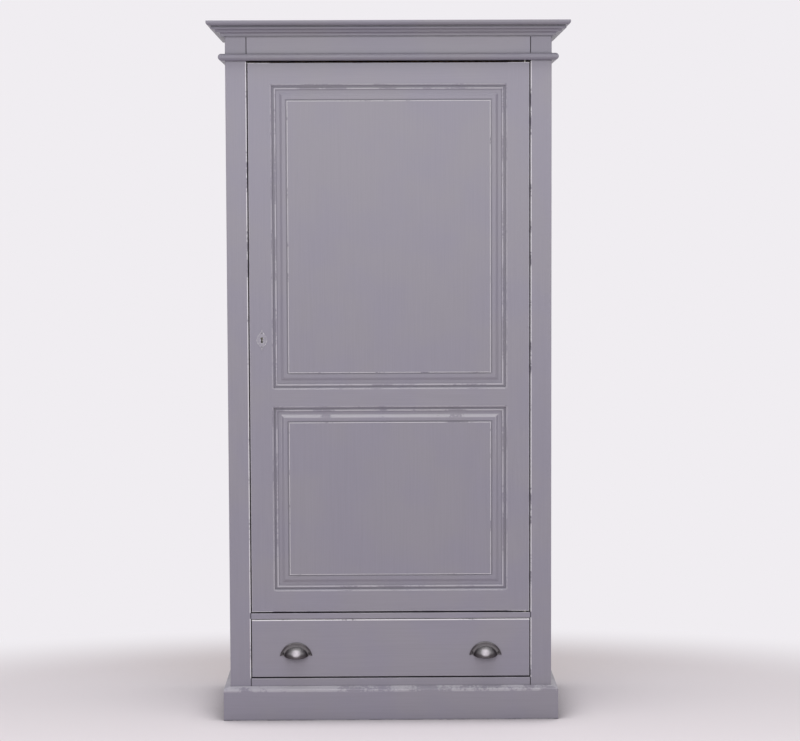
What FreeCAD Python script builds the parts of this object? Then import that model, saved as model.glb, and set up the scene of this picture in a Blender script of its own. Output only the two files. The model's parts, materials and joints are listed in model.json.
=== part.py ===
"""Bonnetiere: a tall one-door cupboard with a drawer below, in painted softwood.

The front frame, the door and the drawer front stand flush in one plane that faces -Y.
X runs across the cabinet, Z up, and the origin is on the floor below its middle.
"""
import FreeCAD, Part
import os
import re
import Sketcher

# Every size is in millimetres and is written here once.
SIZES = {
    # overall
    "cabinet_height": 1900,
    "carcass_width": 880,
    "carcass_depth": 452,
    # boards of the carcass
    "side_thickness": 22,
    "frame_thickness": 24,
    "stile_width": 57,
    "top_board_thickness": 20,
    "floor_thickness": 16.5,
    "housing_depth": 6,
    "shelf_thickness": 18,
    "shelf_setback": 60,
    "cleat_size": 20,
    "back_thickness": 12,
    "back_rebate": 10,
    "back_tongue_length": 5,
    "back_tongue_thickness": 4,
    "back_board_gap": 1,
    "back_rail_thickness": 20,
    "stop_strip_lap": 10,
    "stop_strip_thickness": 14,
    "arris": 1.2,
    "fitting_gap": 0.5,
    # heights of the front frame
    "frieze_drop": 104.5,
    "bottom_rail_top": 113.5,
    "bottom_rail_height": 60,
    "drawer_opening_height": 163.5,
    # mortise and tenon joints
    "tenon_thickness": 8,
    "tenon_length": 32,
    "tenon_shoulder": 4,
    "joint_clearance": 0.2,
    # cornice
    "cornice_height": 41,
    "cornice_projection": 48,
    "fascia_height": 4.5,
    "ovolo_radius": 8.5,
    "cornice_quirk": 2.5,
    "cornice_quirk_depth": 6,
    "cornice_bead_radius": 3.6,
    "cove_radius": 7,
    "cornice_ridge_projection": 23,
    "lower_cove_radius": 5.5,
    "cornice_fillet_projection": 11,
    "cornice_foot_projection": 3,
    "cornice_foot_height": 2.5,
    # astragal
    "astragal_height": 18.5,
    "astragal_projection": 18,
    # plinth
    "plinth_height": 92,
    "plinth_weathering": 6,
    "plinth_thickness": 18,
    # door
    "door_thickness": 23,
    "door_side_gap": 3,
    "door_top_gap": 5.5,
    "door_bottom_gap": 4,
    "door_stile_width": 62,
    "door_top_rail": 58.5,
    "door_middle_rail": 49.5,
    "door_bottom_rail": 58.5,
    "lower_opening_height": 504,
    "groove_depth": 9,
    "door_tenon_length": 38,
    "door_tenon_shoulder": 12,
    # raised panels
    "panel_tongue": 6,
    "panel_recess": 13,
    "panel_play": 1,
    "panel_clearance": 0.1,
    "field_recess": 6.5,
    "field_margin": 43.5,
    "field_quirk": 4.5,
    "field_quirk_depth": 4,
    "bevel_margin": 19.5,
    "bevel_run": 12,
    "bevel_rise": 4.5,
    # planted mouldings round the panels
    "moulding_width": 14,
    "moulding_sink": 1.2,
    "moulding_lip": 3,
    "moulding_quirk": 5,
    "moulding_quirk_floor": 1,
    "moulding_bead_radius": 3.6,
    "moulding_step": 0.8,
    # drawer
    "drawer_side_gap": 2.5,
    "drawer_top_gap": 1.5,
    "drawer_bottom_gap": 3.5,
    "drawer_front_thickness": 22,
    "drawer_depth": 400,
    "drawer_side_thickness": 12,
    "drawer_side_drop": 4,
    "drawer_bottom_thickness": 8,
    "drawer_bottom_lift": 10,
    "drawer_groove_depth": 5,
    "drawer_lap": 12,
    "tail_count": 3,
    "tail_width": 26,
    "tail_splay": 4,
    "runner_width": 58,
    "runner_height": 20,
    "guide_height": 20,
    "running_gap": 0.3,
    "guide_gap": 1,
    "stop_length": 18,
    # cup pulls
    "pull_spacing": 519,
    "pull_height": 176,
    "pull_width": 88,
    "pull_rise": 36,
    "pull_plate": 2,
    "pull_rim_width": 2.6,
    "pull_rim_height": 1.2,
    "cup_width": 66,
    "cup_reach": 26,
    "cup_wall": 2,
    "cup_lip_drop": 4.5,
    "pull_screw_spacing": 71,
    "pull_screw_height": 6,
    # lock, escutcheon and strike
    "lock_height": 745.5,
    "key_backset": 33.5,
    "lock_case_width": 50,
    "lock_case_above": 30,
    "lock_case_below": 40,
    "lock_case_depth": 12,
    "lock_key_depth": 8,
    "lock_screw_margin": 6,
    "bolt_height": 16,
    "bolt_thickness": 6,
    "bolt_length": 26.5,
    "bolt_setback": 0.5,
    "bolt_throw": 9,
    "bolt_clearance": 0.3,
    "keyhole_radius": 3.9,
    "keyhole_slot": 5,
    "keyhole_flare": 0.2,
    "keyhole_drop": 12.5,
    "escutcheon_width": 28.5,
    "escutcheon_height": 62,
    "escutcheon_thickness": 1.5,
    "escutcheon_shoulder": 16,
    "escutcheon_neck": 13,
    "escutcheon_point_radius": 22,
    "escutcheon_side_radius": 24,
    "pin_spacing": 38,
    "pin_head_radius": 1.7,
    "pin_head_height": 1.1,
    "pin_shank_radius": 0.7,
    "pin_length": 9,
    "strike_height": 60,
    "strike_width": 14,
    "strike_thickness": 2,
    "strike_screw_spacing": 44,
    # pivots of the door
    "pivot_inset": 12,
    "pivot_setback": 8,
    "pivot_radius": 3,
    "pivot_clearance": 0.05,
    "pivot_reach": 10,
    "pivot_collar_radius": 4.6,
    "pivot_collar_play": 0.1,
    "pivot_plate_length": 56,
    "pivot_plate_width": 10,
    "pivot_plate_thickness": 3,
    "pivot_plate_overhang": 10,
    "pivot_screw_spacing": 22,
    "pivot_screw_margin": 5,
    # slotted countersunk screws
    "screw_head_radius": 3.2,
    "screw_shank_radius": 1.5,
    "screw_clearance": 0.1,
    "screw_length": 12,
    "lock_screw_length": 19,
}
SHELVES = 3
BACK_BOARDS = 4
# Half the side of an eight-sided figure whose flats lie 1 from its middle.
EIGHTH = 0.4142

doc = FreeCAD.newDocument("bonnetiere")
sheet = doc.addObject("Spreadsheet::Sheet", "Sizes")
for row, (alias, size) in enumerate(SIZES.items(), start=1):
    sheet.set(f"A{row}", alias)
    sheet.set(f"B{row}", str(size))
    sheet.setAlias(f"B{row}", alias)
doc.recompute()

# Places that several pieces share, as formulas in the sheet's names.
FRONT = "((cornice_projection - carcass_depth) / 2)"
BACK = "((cornice_projection + carcass_depth) / 2)"
OPENING_WIDTH = "(carcass_width - 2 * stile_width)"
INSIDE_WIDTH = "(carcass_width - 2 * side_thickness)"
CARCASS_TOP = "(cabinet_height - top_board_thickness)"
FRIEZE_BOTTOM = "(cabinet_height - frieze_drop)"
BOTTOM_RAIL_FOOT = "(bottom_rail_top - bottom_rail_height)"
DRAWER_CEILING = "(bottom_rail_top + drawer_opening_height)"
DOOR_SILL = f"({DRAWER_CEILING} + floor_thickness)"
SIDE_DEPTH = "(carcass_depth - frame_thickness)"
INSIDE_DEPTH = f"({SIDE_DEPTH} - back_thickness)"
TENON_FRONT = "((frame_thickness - tenon_thickness) / 2)"

DOOR_WIDTH = f"({OPENING_WIDTH} - 2 * door_side_gap)"
DOOR_BOTTOM = f"({DOOR_SILL} + door_bottom_gap)"
DOOR_HEIGHT = f"({FRIEZE_BOTTOM} - door_top_gap - {DOOR_BOTTOM})"
PANEL_WIDTH = f"({DOOR_WIDTH} - 2 * door_stile_width)"
MIDDLE_RAIL_BOTTOM = "(door_bottom_rail + lower_opening_height)"
UPPER_OPENING_BOTTOM = f"({MIDDLE_RAIL_BOTTOM} + door_middle_rail)"
UPPER_OPENING_TOP = f"({DOOR_HEIGHT} - door_top_rail)"
UPPER_OPENING_HEIGHT = f"({UPPER_OPENING_TOP} - {UPPER_OPENING_BOTTOM})"
TONGUE_FRONT = "(panel_recess - panel_clearance)"
TONGUE_BACK = "(panel_recess + panel_tongue + panel_clearance)"
PANEL_BACK = "(panel_recess + panel_tongue)"
LOCK_Z = f"({DOOR_BOTTOM} + lock_height)"
BOLT_Y = "(door_thickness - lock_case_depth / 2)"
PIVOT_X = f"({DOOR_WIDTH} / 2 - pivot_inset)"
PIVOT_PLATE_END = "(pivot_plate_overhang - pivot_plate_length)"

DRAWER_WIDTH = f"({OPENING_WIDTH} - 2 * drawer_side_gap)"
DRAWER_BOTTOM = "(bottom_rail_top + drawer_bottom_gap)"
DRAWER_HEIGHT = "(drawer_opening_height - drawer_bottom_gap - drawer_top_gap)"
DRAWER_SIDE_HEIGHT = f"({DRAWER_HEIGHT} - drawer_side_drop)"
RUNNER_TOP = f"({DRAWER_BOTTOM} - running_gap)"

SCREW_HOLE = "(screw_shank_radius + screw_clearance)"
HEAD_DEPTH = "(screw_head_radius - screw_shank_radius)"
PIN_HOLE = "(pin_shank_radius + pivot_clearance)"

WORD = re.compile(r"[a-z][a-z_]*")
parts = []
cuts = []


def cells(formula):
    """A formula in the sheet's plain names, written as the expression engine reads it."""
    return WORD.sub(lambda word: f"Sizes.{word.group()}", str(formula))


def number(formula):
    """What a formula comes to now."""
    return float(sheet.evalExpression(cells(formula)))


def bind(thing, **formulas):
    """Tie properties of an object to formulas."""
    for name, formula in formulas.items():
        thing.setExpression(name, cells(formula))


def place(thing, x=0, y=0, z=0, turn=None):
    """Give an object its place, as formulas, and how it is turned."""
    if turn is not None:
        thing.Placement = FreeCAD.Placement(FreeCAD.Vector(), turn)
    for axis, formula in zip("xyz", (x, y, z)):
        thing.setExpression(f".Placement.Base.{axis}", cells(formula))
    return thing


def turned(axis, degrees):
    """A rotation about one of the axes X, Y or Z."""
    directions = {"X": (1, 0, 0), "Y": (0, 1, 0), "Z": (0, 0, 1)}
    return FreeCAD.Rotation(FreeCAD.Vector(*directions[axis]), degrees)


def new_body(label):
    """An empty body, which is a sub-part when it is kept."""
    return doc.addObject("PartDesign::Body", label)


def keep(thing, label=None):
    """Count an object as a finished sub-part."""
    if label is not None:
        thing.Label = label
    parts.append(thing)
    return thing


def group(label, bodies):
    """Separate solids that share one node."""
    together = doc.addObject("Part::Compound", label)
    together.Links = bodies
    return keep(together)


def segment_geometry(start, end, bow, radius):
    """A side of an outline: a line, or an arc bowed to the left (+1) or right (-1) of the walk."""
    if bow == 0:
        return Part.LineSegment(start, end)
    chord = end - start
    middle = (start + end) * 0.5
    across = FreeCAD.Vector(-chord.y, chord.x, 0).normalize()
    reach = max(radius ** 2 - (chord.Length / 2) ** 2, 0) ** 0.5
    centre = middle - across * bow * reach
    crown = centre + across * bow * radius
    return Part.Arc(start, crown, end)


def draw(body, plane, offset, outlines):
    """Sketch closed outlines on an origin plane of the body, set off along +X, +Y or +Z.

    A corner is (u, v), or (u, v, radius, bow) where the side after it is an arc.
    A circle is ("circle", u, v, radius).  Every figure is a formula.
    """
    sketch = body.newObject("Sketcher::SketchObject", f"{body.Name}_sketch")
    origin_plane = next(item for item in body.Origin.OriginFeatures if item.Role == f"{plane}_Plane")
    sketch.AttachmentSupport = [(origin_plane, "")]
    sketch.MapMode = "FlatFace"
    direction = "-1" if plane == "XZ" else "1"
    sketch.setExpression(".AttachmentOffset.Base.z", cells(f"{direction} * ({offset})"))
    constraints = []
    formulas = {}

    def fix(kind, geometry, point, formula):
        formulas[len(constraints)] = formula
        value = number(formula)
        if kind == "Radius":
            constraints.append(Sketcher.Constraint(kind, geometry, value))
        else:
            constraints.append(Sketcher.Constraint(kind, -1, 1, geometry, point, value))

    for outline in outlines:
        first = sketch.GeometryCount
        if outline[0] == "circle":
            centre = FreeCAD.Vector(number(outline[1]), number(outline[2]), 0)
            sketch.addGeometry(Part.Circle(centre, FreeCAD.Vector(0, 0, 1), number(outline[3])), False)
            fix("DistanceX", first, 3, outline[1])
            fix("DistanceY", first, 3, outline[2])
            fix("Radius", first, None, outline[3])
            continue
        corners = [FreeCAD.Vector(number(corner[0]), number(corner[1]), 0) for corner in outline]
        count = len(outline)
        ends = []
        for index, corner in enumerate(outline):
            radius, bow = (number(corner[2]), corner[3]) if len(corner) == 4 else (0, 0)
            start = corners[index]
            end = corners[(index + 1) % count]
            side = sketch.addGeometry(segment_geometry(start, end, bow, radius), False)
            to_first = (sketch.getPoint(side, 1) - start).Length
            to_second = (sketch.getPoint(side, 2) - start).Length
            ends.append((1, 2) if to_first < to_second else (2, 1))
        for index, corner in enumerate(outline):
            side = first + index
            following = (index + 1) % count
            constraints.append(Sketcher.Constraint(
                "Coincident", side, ends[index][1], first + following, ends[following][0]))
            fix("DistanceX", side, ends[index][0], corner[0])
            fix("DistanceY", side, ends[index][0], corner[1])
            if len(corner) == 4:
                fix("Radius", side, None, corner[2])
    sketch.addConstraint(constraints)
    for index, formula in formulas.items():
        sketch.setExpression(f"Constraints[{index}]", cells(formula))
    return sketch


def pad(body, plane, outlines, start, length, growth=None):
    """Add material from start to start + length along the axis across the plane.

    Growth is how far the far end stands out beyond the near one, all round.
    """
    feature = body.newObject("PartDesign::Pad", f"{body.Name}_pad")
    feature.Profile = draw(body, plane, start, outlines)
    feature.Reversed = plane == "XZ"
    bind(feature, Length=length)
    if growth is not None:
        feature.setExpression("TaperAngle", f"atan({cells(growth)} / {cells(length)})")
    return feature


def pocket(body, plane, outlines, start, length):
    """Take material away from start to start + length along the axis across the plane."""
    feature = body.newObject("PartDesign::Pocket", f"{body.Name}_pocket")
    feature.Profile = draw(body, plane, start, outlines)
    feature.Reversed = plane != "XZ"
    bind(feature, Length=length)
    cuts.append(feature)
    return feature


def rectangle(left, right, bottom, top):
    """Corners of a rectangle, counter-clockwise."""
    return [(left, bottom), (right, bottom), (right, top), (left, top)]


def bores(spots, radius):
    """Eight-sided outlines round the given points: so many small screws and holes stay light."""
    outlines = []
    for u, v in spots:
        flat = f"({radius})"
        half_side = f"{EIGHTH} * ({radius})"
        steps = [(flat, half_side), (half_side, flat), (f"-{half_side}", flat), (f"-{flat}", half_side)]
        corners = [(f"{u} + {across}", f"{v} + {up}") for across, up in steps]
        corners += [(f"{u} - {across}", f"{v} - {up}") for across, up in steps]
        outlines.append(corners)
    return outlines


def ease(body, chosen, size="arris"):
    """Chamfer the edges of a body that the chosen test picks."""
    doc.recompute()
    tip = body.Tip
    names = [f"Edge{index}" for index, edge in enumerate(tip.Shape.Edges, start=1) if chosen(edge)]
    feature = body.newObject("PartDesign::Chamfer", f"{body.Name}_arris")
    feature.Base = (tip, names)
    bind(feature, Size=size)
    return feature


def countersink(body, axis, surface):
    """Chamfer the mouths of the screw holes in the face that lies across an axis."""
    level = number(surface)

    def chosen(edge):
        box = edge.BoundBox
        low, high = {"X": (box.XMin, box.XMax), "Y": (box.YMin, box.YMax), "Z": (box.ZMin, box.ZMax)}[axis]
        in_face = abs(low - level) < 1e-6 and abs(high - level) < 1e-6
        return in_face and edge.Length < number("screw_head_radius")
    return ease(body, chosen, HEAD_DEPTH)


def front_arris(direction, longer_than=5):
    """A test for straight edges of the front face, y = 0, that run along X or Z."""
    def chosen(edge):
        box = edge.BoundBox
        span = {"X": box.XLength, "Z": box.ZLength}[direction]
        flat = abs(box.YMin) < 1e-6 and abs(box.YMax) < 1e-6
        return flat and span > longer_than and abs(span - edge.Length) < 1e-6
    return chosen


def inward(side, start, length):
    """Where a cut starts that runs inward from a left (+1) or right (-1) piece's outer face."""
    return start if side > 0 else f"-({start}) - ({length})"


# --- carcass -------------------------------------------------------------------------

def side_panel(label, side):
    """Solid board side with a rebate for the back and a housing for the cupboard floor."""
    panel = new_body(label)
    rebate_face = f"{side} * (side_thickness - back_rebate)"
    pad(panel, "XY", [[
        ("0", "0"),
        (f"{side} * side_thickness", "0"),
        (f"{side} * side_thickness", INSIDE_DEPTH),
        (rebate_face, INSIDE_DEPTH),
        (rebate_face, SIDE_DEPTH),
        ("0", SIDE_DEPTH),
    ]], "0", CARCASS_TOP)
    housing = rectangle("0", INSIDE_DEPTH, DRAWER_CEILING, DOOR_SILL)
    start = inward(side, "side_thickness - housing_depth", "housing_depth")
    pocket(panel, "YZ", [housing], start, "housing_depth")
    keep(place(panel, f"-{side} * carcass_width / 2", f"{FRONT} + frame_thickness", "0"))


def rail_mortise(bottom, top):
    """Mouth of the mortise for a front rail that lies between two heights."""
    return rectangle(
        f"{TENON_FRONT} - joint_clearance", f"{TENON_FRONT} + tenon_thickness + joint_clearance",
        f"{bottom} + tenon_shoulder - joint_clearance", f"{top} - tenon_shoulder + joint_clearance")


def front_stile(label, side):
    """Full height stile of the front frame, with a mortise for each rail."""
    stile = new_body(label)
    pad(stile, "XY", [rectangle("0", f"{side} * stile_width", "0", "frame_thickness")], "0", CARCASS_TOP)
    mouths = [
        rail_mortise(BOTTOM_RAIL_FOOT, "bottom_rail_top"),
        rail_mortise(DRAWER_CEILING, DOOR_SILL),
        rail_mortise(FRIEZE_BOTTOM, CARCASS_TOP),
    ]
    depth = "tenon_length + fitting_gap"
    pocket(stile, "YZ", mouths, inward(side, f"stile_width - ({depth})", depth), depth)
    if side > 0:
        plate = rectangle(f"{BOLT_Y} - strike_width / 2", f"{BOLT_Y} + strike_width / 2",
                          f"{LOCK_Z} - strike_height / 2", f"{LOCK_Z} + strike_height / 2")
        pocket(stile, "YZ", [plate], "stile_width - strike_thickness", "strike_thickness")
        depth = "bolt_throw + fitting_gap"
        pocket(stile, "YZ", [bolt_window(LOCK_Z)], f"stile_width - ({depth})", depth)
        depth = "screw_length + fitting_gap"
        holes = bores(strike_screws(BOLT_Y, LOCK_Z), SCREW_HOLE)
        pocket(stile, "YZ", holes, f"stile_width - ({depth})", depth)
    ease(stile, front_arris("Z"))
    keep(place(stile, f"-{side} * carcass_width / 2", FRONT, "0"))


def bolt_window(height):
    """Opening that the lock bolt enters, in the stile and in its strike plate."""
    return rectangle(
        f"{BOLT_Y} - bolt_thickness / 2 - 2 * bolt_clearance",
        f"{BOLT_Y} + bolt_thickness / 2 + 2 * bolt_clearance",
        f"{height} - bolt_height / 2 - 2 * bolt_clearance",
        f"{height} + bolt_height / 2 + 2 * bolt_clearance")


def strike_screws(y, height):
    """Where the two screws of the strike plate stand."""
    return [(y, f"{height} + {end} * strike_screw_spacing / 2") for end in (-1, 1)]


def front_rail(label, bottom, top):
    """Rail between the front stiles, with one tenon section run through both ends."""
    rail = new_body(label)
    height = f"({top} - {bottom})"
    pad(rail, "YZ", [rectangle("0", "frame_thickness", "0", height)], f"-{OPENING_WIDTH} / 2", OPENING_WIDTH)
    tenon = rectangle(TENON_FRONT, f"{TENON_FRONT} + tenon_thickness",
                      "tenon_shoulder", f"{height} - tenon_shoulder")
    pad(rail, "YZ", [tenon], f"-{OPENING_WIDTH} / 2 - tenon_length", f"{OPENING_WIDTH} + 2 * tenon_length")
    ease(rail, lambda edge: front_arris("X")(edge) or front_arris("Z")(edge))
    keep(place(rail, "0", FRONT, bottom))
    return rail


def cut_pivot_seat(body, x, surface, side):
    """Sink a pivot plate and its screws into a face that looks up (-1) or down (+1)."""
    seat = rectangle(f"{x} + {PIVOT_PLATE_END}", f"{x} + pivot_plate_overhang",
                     "pivot_setback - pivot_plate_width / 2", "pivot_setback + pivot_plate_width / 2")
    start = surface if side > 0 else f"{surface} - pivot_plate_thickness"
    pocket(body, "XY", [seat], start, "pivot_plate_thickness")
    depth = "screw_length + fitting_gap"
    start = surface if side > 0 else f"{surface} - ({depth})"
    pocket(body, "XY", bores(pivot_screws(x, "pivot_setback"), SCREW_HOLE), start, depth)


def pivot_screws(x, y):
    """Where the two screws of a pivot plate stand, from the plate's far end."""
    first = f"{x} + {PIVOT_PLATE_END} + pivot_screw_margin"
    return [(first, y), (f"{first} + pivot_screw_spacing", y)]


def board(label, x, y, z):
    """Plain board: its start and length along each axis."""
    piece = new_body(label)
    pad(piece, "XY", [rectangle("0", x[1], "0", y[1])], "0", z[1])
    keep(place(piece, x[0], y[0], z[0]))
    return piece


def cupboard_floor():
    """Floor of the cupboard and ceiling of the drawer, housed in both sides."""
    width = f"({INSIDE_WIDTH} + 2 * housing_depth - joint_clearance)"
    floor_board = new_body("cupboard_floor")
    outline = rectangle(f"-{width} / 2", f"{width} / 2", "0", INSIDE_DEPTH)
    pad(floor_board, "XY", [outline], "joint_clearance / 2", "floor_thickness - joint_clearance")
    keep(place(floor_board, "0", f"{FRONT} + frame_thickness", DRAWER_CEILING))


def shelf_height(index):
    """Underside of a shelf, counted from 1: the shelves share the cupboard's height evenly."""
    clear = f"({CARCASS_TOP} - {DOOR_SILL} - {SHELVES} * shelf_thickness) / {SHELVES + 1}"
    return f"({DOOR_SILL} + {index} * ({clear}) + {index - 1} * shelf_thickness)"


def shelves():
    """Loose shelves that lie on cleats screwed to both sides."""
    width = f"({INSIDE_WIDTH} - 2 * fitting_gap)"
    depth = f"({INSIDE_DEPTH} - shelf_setback - fitting_gap)"
    back_edge = f"{BACK} - back_thickness - fitting_gap"
    for index in range(1, SHELVES + 1):
        shelf = new_body(f"shelf_{index}")
        pad(shelf, "XY", [rectangle(f"-{width} / 2", f"{width} / 2", "0", depth)], "0", "shelf_thickness")
        ease(shelf, front_arris("X"))
        keep(place(shelf, "0", f"{back_edge} - {depth}", shelf_height(index)))
    for label, side in (("shelf_cleats_left", 1), ("shelf_cleats_right", -1)):
        cleats = []
        for index in range(1, SHELVES + 1):
            cleat = new_body(f"{label}_{index}")
            section = [
                ("0", "0"),
                ("0", "-cleat_size"),
                (f"{side} * cleat_size / 2", "-cleat_size"),
                (f"{side} * cleat_size", "-cleat_size / 2"),
                (f"{side} * cleat_size", "0"),
            ]
            pad(cleat, "XZ", [section], "0", depth)
            place(cleat, f"-{side} * {INSIDE_WIDTH} / 2", f"{back_edge} - {depth}", shelf_height(index))
            cleats.append(cleat)
        group(label, cleats)


def back_boards():
    """Upright tongued and grooved boards nailed into the rebates of the sides."""
    total = f"({INSIDE_WIDTH} + 2 * back_rebate - back_board_gap)"
    pitch = f"({total} / {BACK_BOARDS})"
    groove_low = "(back_thickness - back_tongue_thickness) / 2 - joint_clearance"
    groove_high = "(back_thickness + back_tongue_thickness) / 2 + joint_clearance"
    tongue_low = "(back_thickness - back_tongue_thickness) / 2"
    tongue_high = "(back_thickness + back_tongue_thickness) / 2"
    for index in range(BACK_BOARDS):
        edge = f"{pitch} - back_board_gap"
        outline = [("0", "0"), (edge, "0")]
        if index < BACK_BOARDS - 1:
            tip = f"{pitch} - back_board_gap + back_tongue_length"
            outline += [(edge, tongue_low), (tip, tongue_low), (tip, tongue_high), (edge, tongue_high)]
        outline += [(edge, "back_thickness"), ("0", "back_thickness")]
        if index > 0:
            root = "back_tongue_length"
            outline += [("0", groove_high), (root, groove_high), (root, groove_low), ("0", groove_low)]
        plank = new_body(f"back_board_{index + 1}")
        pad(plank, "XY", [outline], "0", f"{CARCASS_TOP} - {BOTTOM_RAIL_FOOT}")
        keep(place(plank, f"-{total} / 2 + {index} * {pitch}", f"{BACK} - back_thickness", BOTTOM_RAIL_FOOT))


def drawer_runners():
    """Rebated runners: a bearer below each drawer side and a guide beside it."""
    length = f"({INSIDE_DEPTH} - back_rail_thickness)"
    guide_width = f"({INSIDE_WIDTH} / 2 - {DRAWER_WIDTH} / 2 - guide_gap)"
    for label, side in (("drawer_runner_left", 1), ("drawer_runner_right", -1)):
        runner = new_body(label)
        pad(runner, "XZ", [[
            ("0", "-runner_height"),
            (f"{side} * runner_width", "-runner_height"),
            (f"{side} * runner_width", "0"),
            (f"{side} * {guide_width}", "0"),
            (f"{side} * {guide_width}", "guide_height"),
            ("0", "guide_height"),
        ]], "0", length)
        keep(place(runner, f"-{side} * {INSIDE_WIDTH} / 2", f"{FRONT} + frame_thickness", RUNNER_TOP))
    stops = []
    for side in (1, -1):
        stop = new_body("drawer_stop")
        width = f"(runner_width - {guide_width} - guide_gap)"
        inner = f"{INSIDE_WIDTH} / 2 - runner_width"
        pad(stop, "XY", [rectangle("0", f"-{side} * {width}", "0", "stop_length")], "0", "guide_height")
        place(stop, f"-{side} * ({inner})", f"{FRONT} + drawer_depth + fitting_gap", RUNNER_TOP)
        stops.append(stop)
    group("drawer_stops", stops)


# --- mouldings ------------------------------------------------------------------------

def strip(label, outline, height, length, reach, ends):
    """Moulded strip along +X: its section is drawn in YZ and each end is sawn.

    An end is "square", "outside" (longer at the nose) or "inside" (shorter at the nose).
    """
    piece = new_body(label)
    longer = [reach if end == "outside" else "0" for end in ends]
    pad(piece, "YZ", [outline], f"-({longer[0]})", f"{length} + {longer[0]} + {longer[1]}")
    over = f"({reach} + 1)"
    for end, origin, along in ((ends[0], "0", "1"), (ends[1], length, "-1")):
        if end == "square":
            continue
        lean = "-1" if end == "outside" else "1"
        waste = [
            (f"{origin} - {along} * {lean}", "-1"),
            (f"{origin} + {along} * {lean} * {over}", over),
            (f"{origin} - {along} * {over}", over if end == "inside" else "-1"),
        ]
        if end == "inside":
            waste.append((f"{origin} - {along} * {over}", "-1"))
        pocket(piece, "XY", [waste], f"-{over}", f"2 * {over} + {height}")
    return piece


def wrap(name, outline, height, reach, foot):
    """A moulding on the front and both sides of the carcass, mitred at the front corners."""
    front = strip(f"{name}_front", outline, height, "carcass_width", reach, ("outside", "outside"))
    left = strip(f"{name}_left", outline, height, "carcass_depth", reach, ("outside", "square"))
    right = strip(f"{name}_right", outline, height, "carcass_depth", reach, ("square", "outside"))
    keep(place(front, "carcass_width / 2", FRONT, foot, turned("Z", 180)))
    keep(place(left, "-carcass_width / 2", FRONT, foot, turned("Z", 90)))
    keep(place(right, "carcass_width / 2", BACK, foot, turned("Z", -90)))


def cornice():
    """Crown: fascia, ovolo, quirk and bead, then two coves, each over a step, from the top down."""
    ovolo_y = "(cornice_projection - ovolo_radius)"
    ovolo_z = "(cornice_height - fascia_height - ovolo_radius)"
    bead_y = f"({ovolo_y} - cornice_quirk_depth)"
    bead_z = f"({ovolo_z} - cornice_quirk - 2 * cornice_bead_radius)"
    ridge_z = f"({bead_z} - cove_radius)"
    outline = [
        ("0", "0"),
        ("cornice_foot_projection", "0"),
        ("cornice_foot_projection", "cornice_foot_height"),
        ("cornice_fillet_projection", "cornice_foot_height"),
        ("cornice_fillet_projection", f"{ridge_z} - lower_cove_radius", "lower_cove_radius", 1),
        ("cornice_fillet_projection + lower_cove_radius", ridge_z),
        ("cornice_ridge_projection", ridge_z, "cove_radius", 1),
        ("cornice_ridge_projection + cove_radius", bead_z),
        (bead_y, bead_z, "cornice_bead_radius", -1),
        (f"{bead_y} + cornice_bead_radius", f"{bead_z} + cornice_bead_radius", "cornice_bead_radius", -1),
        (bead_y, f"{bead_z} + 2 * cornice_bead_radius"),
        (bead_y, ovolo_z),
        (ovolo_y, ovolo_z, "ovolo_radius", -1),
        ("cornice_projection", "cornice_height - fascia_height"),
        ("cornice_projection", "cornice_height - arris"),
        ("cornice_projection - arris", "cornice_height"),
        ("0", "cornice_height"),
    ]
    wrap("cornice", outline, "cornice_height", "cornice_projection", "cabinet_height - cornice_height")


def astragal():
    """Half-round strip that covers the foot of the frieze."""
    radius = "astragal_height / 2"
    flat = "(astragal_projection - astragal_height / 2)"
    outline = [
        ("0", "0"),
        (flat, "0", radius, -1),
        ("astragal_projection", radius, radius, -1),
        (flat, "astragal_height"),
        ("0", "astragal_height"),
    ]
    wrap("astragal", outline, "astragal_height", "astragal_projection", FRIEZE_BOTTOM)


def plinth():
    """Base boards planted round the foot, weathered on top."""
    outline = [
        ("0", "0"),
        ("plinth_thickness", "0"),
        ("plinth_thickness", "plinth_height - plinth_weathering - arris"),
        ("plinth_thickness - arris", "plinth_height - plinth_weathering"),
        ("0", "plinth_height"),
    ]
    wrap("plinth", outline, "plinth_height", "plinth_thickness", "0")


# --- door -----------------------------------------------------------------------------

def door_groove(low, high):
    """Panel groove, and the mortise or tenon in line with it, as a band through the thickness."""
    return rectangle(TONGUE_FRONT, TONGUE_BACK, low, high)


def keyhole(x, z):
    """Round above a slot that flares to its foot."""
    neck = "keyhole_slot / 2"
    return [
        (f"{x} - {neck} - keyhole_flare", f"{z} - keyhole_drop"),
        (f"{x} + {neck} + keyhole_flare", f"{z} - keyhole_drop"),
        (f"{x} + {neck} - keyhole_flare", z),
        (f"{x} - {neck} + keyhole_flare", z),
    ]


def cut_keyhole(body, x, z, start, length):
    """Cut the keyhole through a leaf of the door."""
    pocket(body, "XZ", [("circle", x, f"{z} + keyhole_radius", "keyhole_radius")], start, length)
    pocket(body, "XZ", [keyhole(x, f"{z} + keyhole_radius")], start, length)


def stop_arris(stile, side, bottom, height):
    """Take the arris off a door stile's inner edge along one opening: the joints themselves stay flush."""
    inner = f"{side} * door_stile_width"
    corner = [(inner, "0"), (inner, "arris"), (f"{inner} - {side} * arris", "0")]
    pocket(stile, "XY", [corner], bottom, height)


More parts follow.
